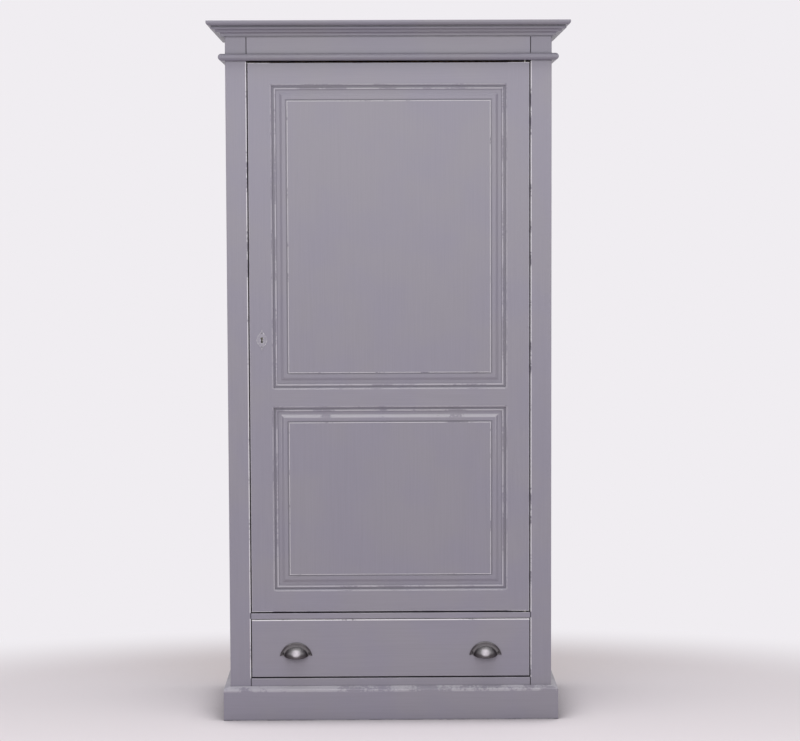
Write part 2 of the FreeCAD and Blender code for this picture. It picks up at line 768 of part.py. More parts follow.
def door_stile(label, side):
    """Door stile with the panel groove and three mortises down its inner edge."""
    stile = new_body(label)
    outline = rectangle("0", f"{side} * door_stile_width", "0", "door_thickness")
    pad(stile, "XY", [outline], "0", DOOR_HEIGHT)
    groove = door_groove("door_bottom_rail - groove_depth", f"{UPPER_OPENING_TOP} + groove_depth")
    start = inward(side, "door_stile_width - groove_depth", "groove_depth")
    pocket(stile, "YZ", [groove], start, "groove_depth")
    mouths = [
        door_groove("door_tenon_shoulder", "door_bottom_rail - groove_depth"),
        door_groove(f"{MIDDLE_RAIL_BOTTOM} + groove_depth", f"{UPPER_OPENING_BOTTOM} - groove_depth"),
        door_groove(f"{UPPER_OPENING_TOP} + groove_depth", f"{DOOR_HEIGHT} - door_tenon_shoulder"),
    ]
    depth = "door_tenon_length + fitting_gap"
    pocket(stile, "YZ", mouths, inward(side, f"door_stile_width - ({depth})", depth), depth)
    if side > 0:
        case = rectangle("0", "lock_case_width",
                         "lock_height - lock_case_below", "lock_height + lock_case_above")
        pocket(stile, "XZ", [case], "door_thickness - lock_case_depth", "lock_case_depth")
        cut_keyhole(stile, "key_backset", "lock_height", "0", "door_thickness - lock_case_depth")
        depth = "lock_screw_length + fitting_gap"
        holes = bores(lock_screws("lock_height"), SCREW_HOLE)
        pocket(stile, "XZ", holes, f"door_thickness - ({depth})", depth)
        holes = bores(escutcheon_pins("key_backset", "lock_height"), PIN_HOLE)
        pocket(stile, "XZ", holes, "0", "pin_length")
    else:
        pivot = "-pivot_inset"
        for surface, looks in (("0", 1), (DOOR_HEIGHT, -1)):
            cut_pivot_seat(stile, pivot, surface, looks)
            depth = "pivot_plate_thickness + pivot_reach + fitting_gap"
            start = surface if looks > 0 else f"{surface} - ({depth})"
            bore = ("circle", pivot, "pivot_setback", "pivot_radius + fitting_gap")
            pocket(stile, "XY", [bore], start, depth)
    ease(stile, lambda edge: front_arris("Z", 20)(edge) and edge.CenterOfMass.x * side < number("arris"))
    stop_arris(stile, side, "door_bottom_rail", "lower_opening_height")
    stop_arris(stile, side, UPPER_OPENING_BOTTOM, UPPER_OPENING_HEIGHT)
    keep(place(stile, f"-{side} * {DOOR_WIDTH} / 2", FRONT, DOOR_BOTTOM))


def door_rail(label, bottom, height, tenon_low, tenon_high, grooved):
    """Door rail: tenons at both ends in line with the panel grooves along its edges."""
    rail = new_body(label)
    pad(rail, "YZ", [rectangle("0", "door_thickness", "0", height)], f"-{PANEL_WIDTH} / 2", PANEL_WIDTH)
    if "foot" in grooved:
        pocket(rail, "YZ", [door_groove("0", "groove_depth")], f"-{PANEL_WIDTH} / 2", PANEL_WIDTH)
    if "head" in grooved:
        groove = door_groove(f"{height} - groove_depth", height)
        pocket(rail, "YZ", [groove], f"-{PANEL_WIDTH} / 2", PANEL_WIDTH)
    tenon = rectangle("panel_recess", PANEL_BACK,
                      f"{tenon_low} + joint_clearance", f"{tenon_high} - joint_clearance")
    pad(rail, "YZ", [tenon],
        f"-{PANEL_WIDTH} / 2 - door_tenon_length", f"{PANEL_WIDTH} + 2 * door_tenon_length")
    ease(rail, front_arris("X"))
    keep(place(rail, "0", FRONT, f"{DOOR_BOTTOM} + {bottom}"))


def raised_panel(label, bottom, height):
    """Raised and fielded panel: an ogee cutter runs along each edge, so the bevels meet in mitres."""
    panel = new_body(label)
    tongue = "(groove_depth - panel_play)"
    half = f"({PANEL_WIDTH} / 2 + {tongue})"
    outline = rectangle(f"-{half}", half, f"-{tongue}", f"{height} + {tongue}")
    pad(panel, "XZ", [outline], "field_recess", f"{PANEL_BACK} - field_recess")
    quirk = "field_recess + field_quirk_depth"
    crest = "panel_recess - bevel_rise"
    ogee = "(bevel_run * bevel_run + bevel_rise * bevel_rise) / (4 * bevel_rise)"
    clear = "(groove_depth + 1)"

    def waste(edge, way, swap):
        """What the cutter takes off one edge, drawn from the opening's edge inwards."""
        def at(margin, depth, *bow):
            across = f"{edge} + {way} * ({margin})"
            return (across, depth, *bow) if swap else (depth, across, *bow)
        turn = way if swap else -way
        return [
            at(f"-{clear}", "-1"),
            at("field_margin", "-1"),
            at("field_margin", quirk),
            at("field_margin - field_quirk", quirk),
            at("field_margin - field_quirk", crest),
            at("bevel_margin + bevel_run", crest, ogee, turn),
            at("bevel_margin + bevel_run / 2", "panel_recess - bevel_rise / 2", ogee, -turn),
            at("bevel_margin", "panel_recess"),
            at(f"-{clear}", "panel_recess"),
        ]

    across = [waste("0", 1, False), waste(height, -1, False)]
    pocket(panel, "YZ", across, f"-{half} - 1", f"2 * ({half} + 1)")
    upright = [waste(f"-{PANEL_WIDTH} / 2", 1, True), waste(f"{PANEL_WIDTH} / 2", -1, True)]
    pocket(panel, "XY", upright, f"-{tongue} - 1", f"{height} + 2 * ({tongue} + 1)")
    keep(place(panel, "0", FRONT, f"{DOOR_BOTTOM} + {bottom}"))


def planted_moulding(label, bottom, height):
    """Four mitred strips that hide the joint between a panel and its frame: bead, quirk and round lip."""
    top = "(panel_recess - moulding_sink)"
    outline = [
        ("0", "0"),
        ("moulding_width", "0"),
        ("moulding_width", "moulding_step", "moulding_bead_radius", -1),
        ("moulding_lip + moulding_quirk", "moulding_quirk_floor"),
        ("moulding_lip", "moulding_quirk_floor"),
        ("moulding_lip", f"{top} - moulding_lip", "moulding_lip", -1),
        ("0", top),
    ]
    corners = [
        (f"-{PANEL_WIDTH} / 2", "0", PANEL_WIDTH),
        (f"{PANEL_WIDTH} / 2", "0", height),
        (f"{PANEL_WIDTH} / 2", height, PANEL_WIDTH),
        (f"-{PANEL_WIDTH} / 2", height, height),
    ]
    strips = []
    for index, (x, z, length) in enumerate(corners):
        piece = strip(f"{label}_{index + 1}", outline, "panel_recess", length, "moulding_width",
                      ("inside", "inside"))
        turn = turned("Y", -90 * index).multiply(turned("X", 90))
        strips.append(place(piece, x, f"{FRONT} + panel_recess", f"{DOOR_BOTTOM} + {bottom} + {z}", turn))
    group(label, strips)


def lock_screws(z):
    """Where the screws stand at the corners of the lock case, clear of the bolt."""
    high = f"{z} + lock_case_above - lock_screw_margin"
    low = f"{z} - lock_case_below + lock_screw_margin"
    near = "lock_screw_margin"
    far = "lock_case_width - lock_screw_margin"
    return [(x, height) for x in (near, far) for height in (low, high)]


def escutcheon_pins(x, z):
    """Where the two pins of the escutcheon stand."""
    return [(x, f"{z} + {end} * pin_spacing / 2") for end in (-1, 1)]


def lock():
    """Cupboard lock let into the back of the door, with a sliding bolt."""
    case = new_body("lock_case")
    left = "bolt_setback"
    body_outline = rectangle(left, "lock_case_width - joint_clearance",
                             "joint_clearance - lock_case_below", "lock_case_above - joint_clearance")
    pad(case, "XZ", [body_outline], "joint_clearance", "lock_case_depth - joint_clearance")
    channel = rectangle(
        "(lock_case_depth - bolt_thickness) / 2 - bolt_clearance",
        "(lock_case_depth + bolt_thickness) / 2 + bolt_clearance",
        "-bolt_height / 2 - bolt_clearance", "bolt_height / 2 + bolt_clearance")
    pocket(case, "YZ", [channel], left, "bolt_length + bolt_clearance")
    cut_keyhole(case, "key_backset", "0", "joint_clearance", "lock_key_depth")
    pocket(case, "XZ", bores(lock_screws("0"), SCREW_HOLE), "0", "lock_case_depth")
    countersink(case, "Y", "lock_case_depth")
    keep(place(case, f"-{DOOR_WIDTH} / 2", f"{FRONT} + door_thickness - lock_case_depth", LOCK_Z))

    bolt = new_body("lock_bolt")
    section = rectangle("-bolt_thickness / 2", "bolt_thickness / 2", "-bolt_height / 2", "bolt_height / 2")
    pad(bolt, "YZ", [section], "0", "bolt_length")
    keep(place(bolt, f"-{DOOR_WIDTH} / 2 + bolt_setback", f"{FRONT} + {BOLT_Y}", LOCK_Z))


def strike_plate():
    """Plate let into the front stile, with the window that the bolt enters."""
    strike = new_body("strike_plate")
    plate = rectangle("-strike_width / 2", "strike_width / 2", "-strike_height / 2", "strike_height / 2")
    pad(strike, "YZ", [plate], "-strike_thickness", "strike_thickness")
    window = rectangle(
        "-bolt_thickness / 2 - 2 * bolt_clearance", "bolt_thickness / 2 + 2 * bolt_clearance",
        "-bolt_height / 2 - 2 * bolt_clearance", "bolt_height / 2 + 2 * bolt_clearance")
    pocket(strike, "YZ", [window], "-strike_thickness", "strike_thickness")
    pocket(strike, "YZ", bores(strike_screws("0", "0"), SCREW_HOLE), "-strike_thickness", "strike_thickness")
    countersink(strike, "X", "0")
    keep(place(strike, f"-{OPENING_WIDTH} / 2", f"{FRONT} + {BOLT_Y}", LOCK_Z))


def escutcheon():
    """Pointed plate round the keyhole."""
    plate = new_body("escutcheon")
    tip = "escutcheon_height / 2"
    cusp = "escutcheon_width / 2"
    neck_x = "escutcheon_neck / 2"
    neck_z = "escutcheon_shoulder"
    point = "escutcheon_point_radius"
    side = "escutcheon_side_radius"
    outline = [
        ("0", f"-{tip}", point, 1),
        (neck_x, f"-{neck_z}", side, -1),
        (cusp, "0", side, -1),
        (neck_x, neck_z, point, 1),
        ("0", tip, point, 1),
        (f"-{neck_x}", neck_z, side, -1),
        (f"-{cusp}", "0", side, -1),
        (f"-{neck_x}", f"-{neck_z}", point, 1),
    ]
    pad(plate, "XZ", [outline], "-escutcheon_thickness", "escutcheon_thickness")
    cut_keyhole(plate, "0", "0", "-escutcheon_thickness", "escutcheon_thickness")
    holes = bores(escutcheon_pins("0", "0"), PIN_HOLE)
    pocket(plate, "XZ", holes, "-escutcheon_thickness", "escutcheon_thickness")
    keyhole_x = f"-{DOOR_WIDTH} / 2 + key_backset"
    keep(place(plate, keyhole_x, FRONT, LOCK_Z))
    pins = []
    for x, height in escutcheon_pins(keyhole_x, LOCK_Z):
        pin = new_body("escutcheon_pin")
        pad(pin, "XY", bores([("0", "0")], "pin_shank_radius"), "-pin_length", "pin_length")
        pad(pin, "XY", bores([("0", "0")], "pin_head_radius"), "0", "pin_head_height")
        ease(pin, lambda edge: edge.BoundBox.ZMin > number("pin_head_height") / 2, "pin_head_height / 2")
        pins.append(place(pin, x, f"{FRONT} - escutcheon_thickness", height, turned("X", 90)))
    group("escutcheon_pins", pins)


def screw(length, x, y, z, turn):
    """Countersunk wood screw with its head at z = 0 and its shank down -Z."""
    piece = new_body("screw")
    shank = bores([("0", "0")], "screw_shank_radius")
    pad(piece, "XY", shank, f"-{length}", length)
    pad(piece, "XY", shank, f"-{HEAD_DEPTH}", HEAD_DEPTH, HEAD_DEPTH)
    return place(piece, x, y, z, turn)


def pivot_plate(label, x, height, looks, pinned):
    """Pivot leaf sunk in a face that looks up (-1) or down (+1): with the pin, or with its eye."""
    plate = new_body(label)
    outline = rectangle(PIVOT_PLATE_END, "pivot_plate_overhang",
                        "-pivot_plate_width / 2", "pivot_plate_width / 2")
    thickness = "pivot_plate_thickness"
    pad(plate, "XY", [outline], "0" if looks > 0 else f"-{thickness}", thickness)
    holes = bores(pivot_screws("0", "0"), SCREW_HOLE)
    pocket(plate, "XY", holes, "0" if looks > 0 else f"-{thickness}", thickness)
    countersink(plate, "Z", "0")
    if pinned:
        gap = "door_top_gap" if looks > 0 else "door_bottom_gap"
        reach = f"({gap} + {thickness} + pivot_reach)"
        start = f"-{reach}" if looks > 0 else "0"
        pad(plate, "XY", [("circle", "0", "0", "pivot_radius")], start, reach)
        if looks < 0:
            collar = ("circle", "0", "0", "pivot_collar_radius")
            pad(plate, "XY", [collar], "0", f"{gap} - pivot_collar_play")
    else:
        eye = ("circle", "0", "0", "pivot_radius + pivot_clearance")
        pocket(plate, "XY", [eye], "0" if looks > 0 else f"-{thickness}", thickness)
    keep(place(plate, x, f"{FRONT} + pivot_setback", height))


def fasteners():
    """Screws of the fittings: those in the carcass and those in the door."""
    head_down = turned("X", 180)
    head_up = turned("X", 0)
    spots = pivot_screws(PIVOT_X, f"{FRONT} + pivot_setback")
    carcass = [screw("screw_length", x, y, FRIEZE_BOTTOM, head_down) for x, y in spots]
    carcass += [screw("screw_length", x, y, DOOR_SILL, head_up) for x, y in spots]
    for y, height in strike_screws(f"{FRONT} + {BOLT_Y}", LOCK_Z):
        carcass.append(screw("screw_length", f"-{OPENING_WIDTH} / 2", y, height, turned("Y", 90)))
    group("carcass_screws", carcass)
    door_screws = [screw("screw_length", x, y, f"{DOOR_BOTTOM} + {DOOR_HEIGHT}", head_up) for x, y in spots]
    door_screws += [screw("screw_length", x, y, DOOR_BOTTOM, head_down) for x, y in spots]
    for x, height in lock_screws(LOCK_Z):
        door_screws.append(screw("lock_screw_length", f"-{DOOR_WIDTH} / 2 + {x}", f"{FRONT} + door_thickness",
                                 height, turned("X", -90)))
    group("door_screws", door_screws)


# --- drawer ---------------------------------------------------------------------------

def tails(edge, way, grow):
    """Dovetails in YZ at the front end of a drawer side, all the same and evenly spaced."""
    count = int(number("tail_count"))
    shapes = []
    for index in range(count):
        middle = f"({DRAWER_SIDE_HEIGHT} * ({2 * index + 1}) / {2 * count})"
        root = f"(tail_width / 2 - tail_splay + {grow})"
        tip = f"(tail_width / 2 + {grow})"
        shapes.append([
            (edge, f"{middle} - {root}"),
            (edge, f"{middle} + {root}"),
            (f"{edge} - {way} * drawer_lap", f"{middle} + {tip}"),
            (f"{edge} - {way} * drawer_lap", f"{middle} - {tip}"),
        ])
    return shapes


def drawer():
    """Drawer box: lapped dovetails at the front, grooves for the bottom, cup pulls outside."""
    half = f"({DRAWER_WIDTH} / 2)"
    back_of_front = "drawer_front_thickness"
    groove_low = "drawer_bottom_lift - joint_clearance"
    groove_high = "drawer_bottom_lift + drawer_bottom_thickness + joint_clearance"
    inner = f"({half} - drawer_side_thickness)"

    front = new_body("drawer_front")
    pad(front, "XZ", [rectangle(f"-{half}", half, "0", DRAWER_HEIGHT)], "0", back_of_front)
    for side in (1, -1):
        start = f"-{half}" if side > 0 else f"{half} - drawer_side_thickness"
        sockets = tails(back_of_front, 1, "joint_clearance")
        pocket(front, "YZ", sockets, start, "drawer_side_thickness")
    groove = rectangle(f"{back_of_front} - drawer_groove_depth", back_of_front, groove_low, groove_high)
    pocket(front, "YZ", [groove], f"-{inner} - drawer_groove_depth", f"2 * ({inner} + drawer_groove_depth)")
    holes = bores(pull_screw_spots(f"pull_height - {DRAWER_BOTTOM}"), SCREW_HOLE)
    pocket(front, "XZ", holes, "0", "screw_length + fitting_gap")
    ease(front, lambda edge: front_arris("X", 20)(edge) or front_arris("Z", 20)(edge))
    keep(place(front, "0", FRONT, DRAWER_BOTTOM))

    side_length = "(drawer_depth - drawer_front_thickness)"
    for label, side in (("drawer_side_left", 1), ("drawer_side_right", -1)):
        board_side = new_body(label)
        outline = rectangle("0", side_length, "0", DRAWER_SIDE_HEIGHT)
        start = inward(side, "0", "drawer_side_thickness")
        pad(board_side, "YZ", [outline], start, "drawer_side_thickness")
        pad(board_side, "YZ", tails("0", 1, "0"), start, "drawer_side_thickness")
        groove = rectangle("-drawer_lap", side_length, groove_low, groove_high)
        start = inward(side, "drawer_side_thickness - drawer_groove_depth", "drawer_groove_depth")
        pocket(board_side, "YZ", [groove], start, "drawer_groove_depth")
        keep(place(board_side, f"-{side} * {half}", f"{FRONT} + {back_of_front}", DRAWER_BOTTOM))

    board("drawer_back", (f"-{inner}", f"2 * {inner}"),
          (f"{FRONT} + drawer_depth - drawer_side_thickness", "drawer_side_thickness"),
          (f"{DRAWER_BOTTOM} + {groove_high}", f"{DRAWER_SIDE_HEIGHT} - ({groove_high}) - drawer_side_drop"))
    reach = "(drawer_groove_depth - fitting_gap)"
    board("drawer_bottom", (f"-{inner} - {reach}", f"2 * ({inner} + {reach})"),
          (f"{FRONT} + {back_of_front} - {reach}", f"{side_length} + {reach}"),
          (f"{DRAWER_BOTTOM} + drawer_bottom_lift", "drawer_bottom_thickness"))


def pull_screw_spots(height):
    """Where the screws of both pulls stand."""
    spots = []
    for pull in (-1, 1):
        for end in (-1, 1):
            x = f"{pull} * pull_spacing / 2 + {end} * pull_screw_spacing / 2"
            spots.append((x, f"{height} + pull_screw_height"))
    return spots


def crest(half, rise):
    """Radius of the arc that rises so far over a chord of two halves."""
    return f"({half} * {half} + {rise} * {rise}) / (2 * {rise})"


def ball(kind, body, radius, setback):
    """Add or take away a ball whose middle is set back and down by the same amount."""
    sphere = body.newObject(f"PartDesign::{kind}Sphere", f"{body.Name}_{kind.lower()}_ball")
    bind(sphere, Radius=radius)
    return place(sphere, "0", setback, f"-{setback}")


def cup_pull(label, side):
    """Cast cup pull: part of a hollow ball with a lip, on a half-round plate with a raised rim."""
    pull = new_body(label)
    half = "(pull_width / 2)"
    inner = f"({half} - pull_rim_width)"
    inner_rise = "(pull_rise - pull_rim_width)"
    setback = "((cup_width * cup_width / 4 - cup_reach * cup_reach) / (2 * cup_reach))"
    radius = f"((cup_width * cup_width / 4 + 2 * {setback} * {setback}) ^ 0.5)"
    ball("Additive", pull, radius, setback)
    plate = [(f"-{half}", "0"), (half, "0", crest(half, "pull_rise"), -1)]
    pad(pull, "XZ", [plate], "-pull_plate", "pull_plate")
    rim = [
        (f"-{half}", "0"),
        (f"-{inner}", "0", crest(inner, inner_rise), 1),
        (inner, "0"),
        (half, "0", crest(half, "pull_rise"), -1),
    ]
    pad(pull, "XZ", [rim], "-pull_plate - pull_rim_height", "pull_rim_height")
    cuts.append(ball("Subtractive", pull, f"{radius} - cup_wall", setback))
    behind = rectangle("0", f"2 * {radius}", f"-2 * {radius}", f"2 * {radius}")
    lip = f"2 * {radius} * cup_lip_drop / cup_reach"
    below = [
        ("0", "0"),
        (f"-2 * {radius}", f"-{lip}"),
        (f"-2 * {radius}", f"-2 * {radius}"),
        ("0", f"-2 * {radius}"),
    ]
    for waste in (behind, below):
        pocket(pull, "YZ", [waste], f"-{radius}", f"2 * {radius}")
    spots = [(f"{end} * pull_screw_spacing / 2", "pull_screw_height") for end in (-1, 1)]
    pocket(pull, "XZ", bores(spots, SCREW_HOLE), "-pull_plate", "pull_plate")
    countersink(pull, "Y", "-pull_plate")
    keep(place(pull, f"{side} * pull_spacing / 2", FRONT, "pull_height"))


def pull_screws():
    """The four screws of the pulls, driven into the drawer front."""
    face = f"{FRONT} - pull_plate"
    group("pull_screws", [screw("screw_length", x, face, z, turned("X", 90))
                          for x, z in pull_screw_spots("pull_height")])


# --- the whole cabinet ------------------------------------------------------------------

def carcass():
    """Everything that stands still."""
    side_panel("side_panel_left", 1)
    side_panel("side_panel_right", -1)
    front_stile("front_stile_left", 1)
    front_stile("front_stile_right", -1)
    frieze = front_rail("frieze_rail", FRIEZE_BOTTOM, CARCASS_TOP)
    cut_pivot_seat(frieze, PIVOT_X, "0", 1)
    divider = front_rail("middle_rail", DRAWER_CEILING, DOOR_SILL)
    cut_pivot_seat(divider, PIVOT_X, "floor_thickness", -1)
    front_rail("bottom_rail", BOTTOM_RAIL_FOOT, "bottom_rail_top")
    board("top_board", ("-carcass_width / 2", "carcass_width"), (FRONT, "carcass_depth"),
          (CARCASS_TOP, "top_board_thickness"))
    board("back_rail", (f"-{INSIDE_WIDTH} / 2", INSIDE_WIDTH),
          (f"{BACK} - back_thickness - back_rail_thickness", "back_rail_thickness"),
          (BOTTOM_RAIL_FOOT, "bottom_rail_height"))
    board("door_stop_strip", (f"-{INSIDE_WIDTH} / 2", "stile_width - side_thickness + stop_strip_lap"),
          (f"{FRONT} + frame_thickness", "stop_strip_thickness"), (DOOR_SILL, f"{CARCASS_TOP} - {DOOR_SILL}"))
    cupboard_floor()
    shelves()
    back_boards()
    drawer_runners()
    cornice()
    astragal()
    plinth()
    strike_plate()
    pivot_plate("pivot_pin_top", PIVOT_X, FRIEZE_BOTTOM, 1, True)
    pivot_plate("pivot_pin_bottom", PIVOT_X, DOOR_SILL, -1, True)


def door():
    """The one door, with its lock and the eyes of its pivots."""
    door_stile("door_stile_lock", 1)
    door_stile("door_stile_hinge", -1)
    door_rail("door_rail_bottom", "0", "door_bottom_rail", "door_tenon_shoulder",
              "door_bottom_rail - groove_depth", ("head",))
    door_rail("door_rail_middle", MIDDLE_RAIL_BOTTOM, "door_middle_rail", "groove_depth",
              "door_middle_rail - groove_depth", ("foot", "head"))
    door_rail("door_rail_top", UPPER_OPENING_TOP, "door_top_rail", "groove_depth",
              "door_top_rail - door_tenon_shoulder", ("foot",))
    raised_panel("panel_lower", "door_bottom_rail", "lower_opening_height")
    raised_panel("panel_upper", UPPER_OPENING_BOTTOM, UPPER_OPENING_HEIGHT)
    planted_moulding("moulding_lower", "door_bottom_rail", "lower_opening_height")
    planted_moulding("moulding_upper", UPPER_OPENING_BOTTOM, UPPER_OPENING_HEIGHT)
    lock()
    escutcheon()
    pivot_plate("pivot_socket_top", PIVOT_X, f"{DOOR_BOTTOM} + {DOOR_HEIGHT}", -1, False)
    pivot_plate("pivot_socket_bottom", PIVOT_X, DOOR_BOTTOM, 1, False)


carcass()
door()
fasteners()
drawer()
cup_pull("cup_pull_left", -1)
cup_pull("cup_pull_right", 1)
pull_screws()
doc.recompute()

for item in doc.Objects:
    if "Invalid" in item.State or "Error" in item.State:
        raise RuntimeError(f"{item.Label} did not recompute: {item.State}")
for cut in cuts:
    if not cut.Shape.Volume < cut.BaseFeature.Shape.Volume - 1e-3:
        raise RuntimeError(f"{cut.Label} takes nothing away")
for part in parts:
    if part.Shape.isNull() or not part.Shape.isValid() or part.Shape.Volume <= 0:
        raise RuntimeError(f"{part.Label} has no valid shape")
if len({part.Label for part in parts}) != len(parts):
    raise RuntimeError("two sub-parts share a label")

os.makedirs("parts", exist_ok=True)
for part in parts:
    part.Shape.exportStep(f"parts/{part.Label}.step")
    print(f"{part.Label}: {len(part.Shape.Solids)} solid(s), {part.Shape.Volume / 1000:.1f} cm3")
print(f"{len(parts)} sub-parts")
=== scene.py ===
# %% [markdown]
# # A painted bonnetiere, dressed in Blender
#
# A bonnetiere is a tall, narrow cupboard. Its joinery is already made and measured: every board, moulding
# and fitting comes in as a solid of its own, in metres, with the floor at zero and the front facing minus
# Y. What is left to do here is what the eye sees: the softened edges, the brushed and rubbed paint, the
# cast pulls, the light and the lens.

# %% Load the joinery
import json
import math
import random

import bmesh
import bpy
from mathutils import Matrix, Vector


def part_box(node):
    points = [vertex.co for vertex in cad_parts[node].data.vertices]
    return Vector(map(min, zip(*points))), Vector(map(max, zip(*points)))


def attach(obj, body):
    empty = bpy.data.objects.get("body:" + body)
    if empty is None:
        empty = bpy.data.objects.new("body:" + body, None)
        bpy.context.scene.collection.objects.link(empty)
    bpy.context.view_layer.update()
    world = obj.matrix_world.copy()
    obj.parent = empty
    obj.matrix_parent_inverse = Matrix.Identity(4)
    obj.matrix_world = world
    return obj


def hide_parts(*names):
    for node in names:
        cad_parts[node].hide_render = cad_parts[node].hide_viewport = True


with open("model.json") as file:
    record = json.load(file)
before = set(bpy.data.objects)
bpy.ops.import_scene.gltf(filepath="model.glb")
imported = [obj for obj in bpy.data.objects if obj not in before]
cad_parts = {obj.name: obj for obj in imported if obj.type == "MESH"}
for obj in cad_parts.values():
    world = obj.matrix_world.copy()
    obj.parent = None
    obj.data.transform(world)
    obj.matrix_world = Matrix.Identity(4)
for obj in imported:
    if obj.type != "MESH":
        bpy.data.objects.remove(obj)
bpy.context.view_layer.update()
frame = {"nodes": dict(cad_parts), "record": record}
MM = 0.001

# %% [markdown]
# ## Which piece moves with which body
#
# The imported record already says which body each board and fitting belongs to. Reading it from there keeps
# one truth: a board that the joiner moves to another body rides rightly without a second list.

# %% Who carries what
behaviour = frame["record"]["behaviour"]
CARRIER = {node: body for body, nodes in behaviour["bodies"].items() for node in nodes}


def nodes_named(*starts):
    """the names of the joinery's nodes that start with one of the given words"""
    return [name for name in frame["nodes"] if name.startswith(starts)]


# %% [markdown]
# ## Hand tools
#
# Modelling by hand is choosing, shaping and applying. These helpers do just that: choose some objects,
# settle an object's place, turn and size into its mesh, run one modifier and apply it, pick faces or edges
# by a test on their place or direction, and push them out or in. Everything is deselected first, because an
# operator acts on whatever is selected.

# %% Hand tools
def choose(*pieces):
    """selects only these objects, the first of them active"""
    bpy.ops.object.select_all(action="DESELECT")
    for piece in pieces:
        piece.select_set(True)
    bpy.context.view_layer.objects.active = pieces[0]


def settle(piece):
    """puts the object's place, turn and size into its mesh"""
    choose(piece)
    bpy.ops.object.transform_apply(location=True, rotation=True, scale=True)


def fresh():
    """the object that was just made, with its place, turn and size settled into its mesh"""
    piece = bpy.context.object
    settle(piece)
    return piece


def to_mode(mode):
    """EDIT to shape the active piece's mesh, OBJECT to handle it whole"""
    bpy.ops.object.mode_set(mode=mode)


def work(piece, kind, **settings):
    """gives the piece a modifier and applies it"""
    tool = piece.modifiers.new(kind.title(), kind)
    for name, value in settings.items():
        setattr(tool, name, value)
    choose(piece)
    bpy.ops.object.modifier_apply(modifier=tool.name)


def pick(piece, kind, test):
    """selects the edges or faces that pass the test, on the piece that is in edit mode"""
    mesh = bmesh.from_edit_mesh(piece.data)
    bpy.ops.mesh.select_all(action="DESELECT")
    bpy.ops.mesh.select_mode(type=kind)
    for item in {"EDGE": mesh.edges, "FACE": mesh.faces}[kind]:
        item.select_set(bool(test(item)))
    bmesh.update_edit_mesh(piece.data)


def middle(edge):
    """the place halfway along an edge"""
    return (edge.verts[0].co + edge.verts[1].co) / 2


# a face looks a certain way when at least this much of its normal points there
MOSTLY = 0.9


def looks_forward(face):
    """a test for faces that look at the viewer"""
    return face.normal.y < -MOSTLY


def looks_down(face):
    """a test for faces that look at the floor"""
    return face.normal.z < -MOSTLY


def push(x=0, y=0, z=0):
    """extrudes the selected faces by this much"""
    bpy.ops.mesh.extrude_region_move(TRANSFORM_OT_translate={"value": (x, y, z)})


# %% [markdown]
# ## Colour and nodes
#
# A colour is given as an sRGB hex value, but a shader wants linear light, so one function turns it.
# Another adds a node with its settings and its links, and a few more name what is done again and again: a
# step of arithmetic, a soft step between two limits, noise along the grain, the shelter of a corner.

# %% Colour and nodes
def linear(hex_colour):
    """the linear RGBA of an sRGB colour such as #96929B"""
    channels = [int(hex_colour[i:i + 2], 16) / 255 for i in (1, 3, 5)]
    light = [c / 12.92 if c <= 0.04045 else ((c + 0.055) / 1.055) ** 2.4 for c in channels]
    return (*light, 1.0)


def add(tree, kind, inputs=None, **settings):
    """adds a node with its options, and fills its sockets with values or with other nodes' outputs"""
    node = tree.nodes.new("ShaderNode" + kind)
    for option, value in settings.items():
        setattr(node, option, value)
    for socket, source in (inputs or {}).items():
        if isinstance(source, bpy.types.NodeSocket):
            tree.links.new(source, node.inputs[socket])
        else:
            node.inputs[socket].default_value = source
    return node


def new_finish(name):
    """an empty material, its tree, its shader, and the place on the object to draw patterns by"""
    finish = bpy.data.materials.new(name)
    finish.use_nodes = True
    tree = finish.node_tree
    tree.nodes.clear()
    shader = add(tree, "BsdfPrincipled")
    add(tree, "OutputMaterial", {"Surface": shader.outputs["BSDF"]})
    place = add(tree, "TexCoord").outputs["Object"]
    return finish, tree, shader, place


def feed(shader, socket, source):
    """leads an output into a socket of the shader"""
    shader.id_data.links.new(source, shader.inputs[socket])


def step(tree, operation, first, second=0.0, clamp=False):
    """one step of arithmetic between outputs or numbers"""
    return add(tree, "Math", {0: first, 1: second}, operation=operation, use_clamp=clamp).outputs[0]


def times(tree, first, *others):
    """the product of outputs or numbers"""
    for other in others:
        first = step(tree, "MULTIPLY", first, other)
    return first


def most(tree, first, *others):
    """the greatest of some outputs or numbers"""
    for other in others:
        first = step(tree, "MAXIMUM", first, other)
    return first


def all_but(tree, value):
    """1 where the value is 0, and 0 where it is 1"""
    return step(tree, "SUBTRACT", 1.0, value)


def between(tree, value, low, high, start=0.0, end=1.0):
    """start below low, end above high, and a soft step from one to the other between them"""
    limits = {"Value": value, "From Min": low, "From Max": high, "To Min": start, "To Max": end}
    return add(tree, "MapRange", limits, interpolation_type="SMOOTHSTEP").outputs[0]


def fading(tree, value, low, high):
    """1 below low, 0 above high, and a soft step between them"""
    return between(tree, value, low, high, 1.0, 0.0)


def stretched(tree, place, along, length, width):
    """the place, scaled so that a feature is a length long along the grain and a width wide"""
    scale = [1 / width] * 3
    scale["XYZ".index(along)] = 1 / length
    return add(tree, "Mapping", {"Vector": place, "Scale": scale}).outputs[0]


def noise(tree, vector, scale=1.0, detail=2.0, rough=0.5):
    """soft random values about a half, with features of about one unit divided by the scale"""
    inputs = {"Vector": vector, "Scale": scale, "Detail": detail, "Roughness": rough}
    return add(tree, "TexNoise", inputs).outputs["Fac"]


def openness(tree, reach, samples=8, **settings):
    """1 where nothing is within the reach, and less the more a place is sheltered"""
    return add(tree, "AmbientOcclusion", {"Distance": reach}, samples=samples, **settings).outputs["AO"]


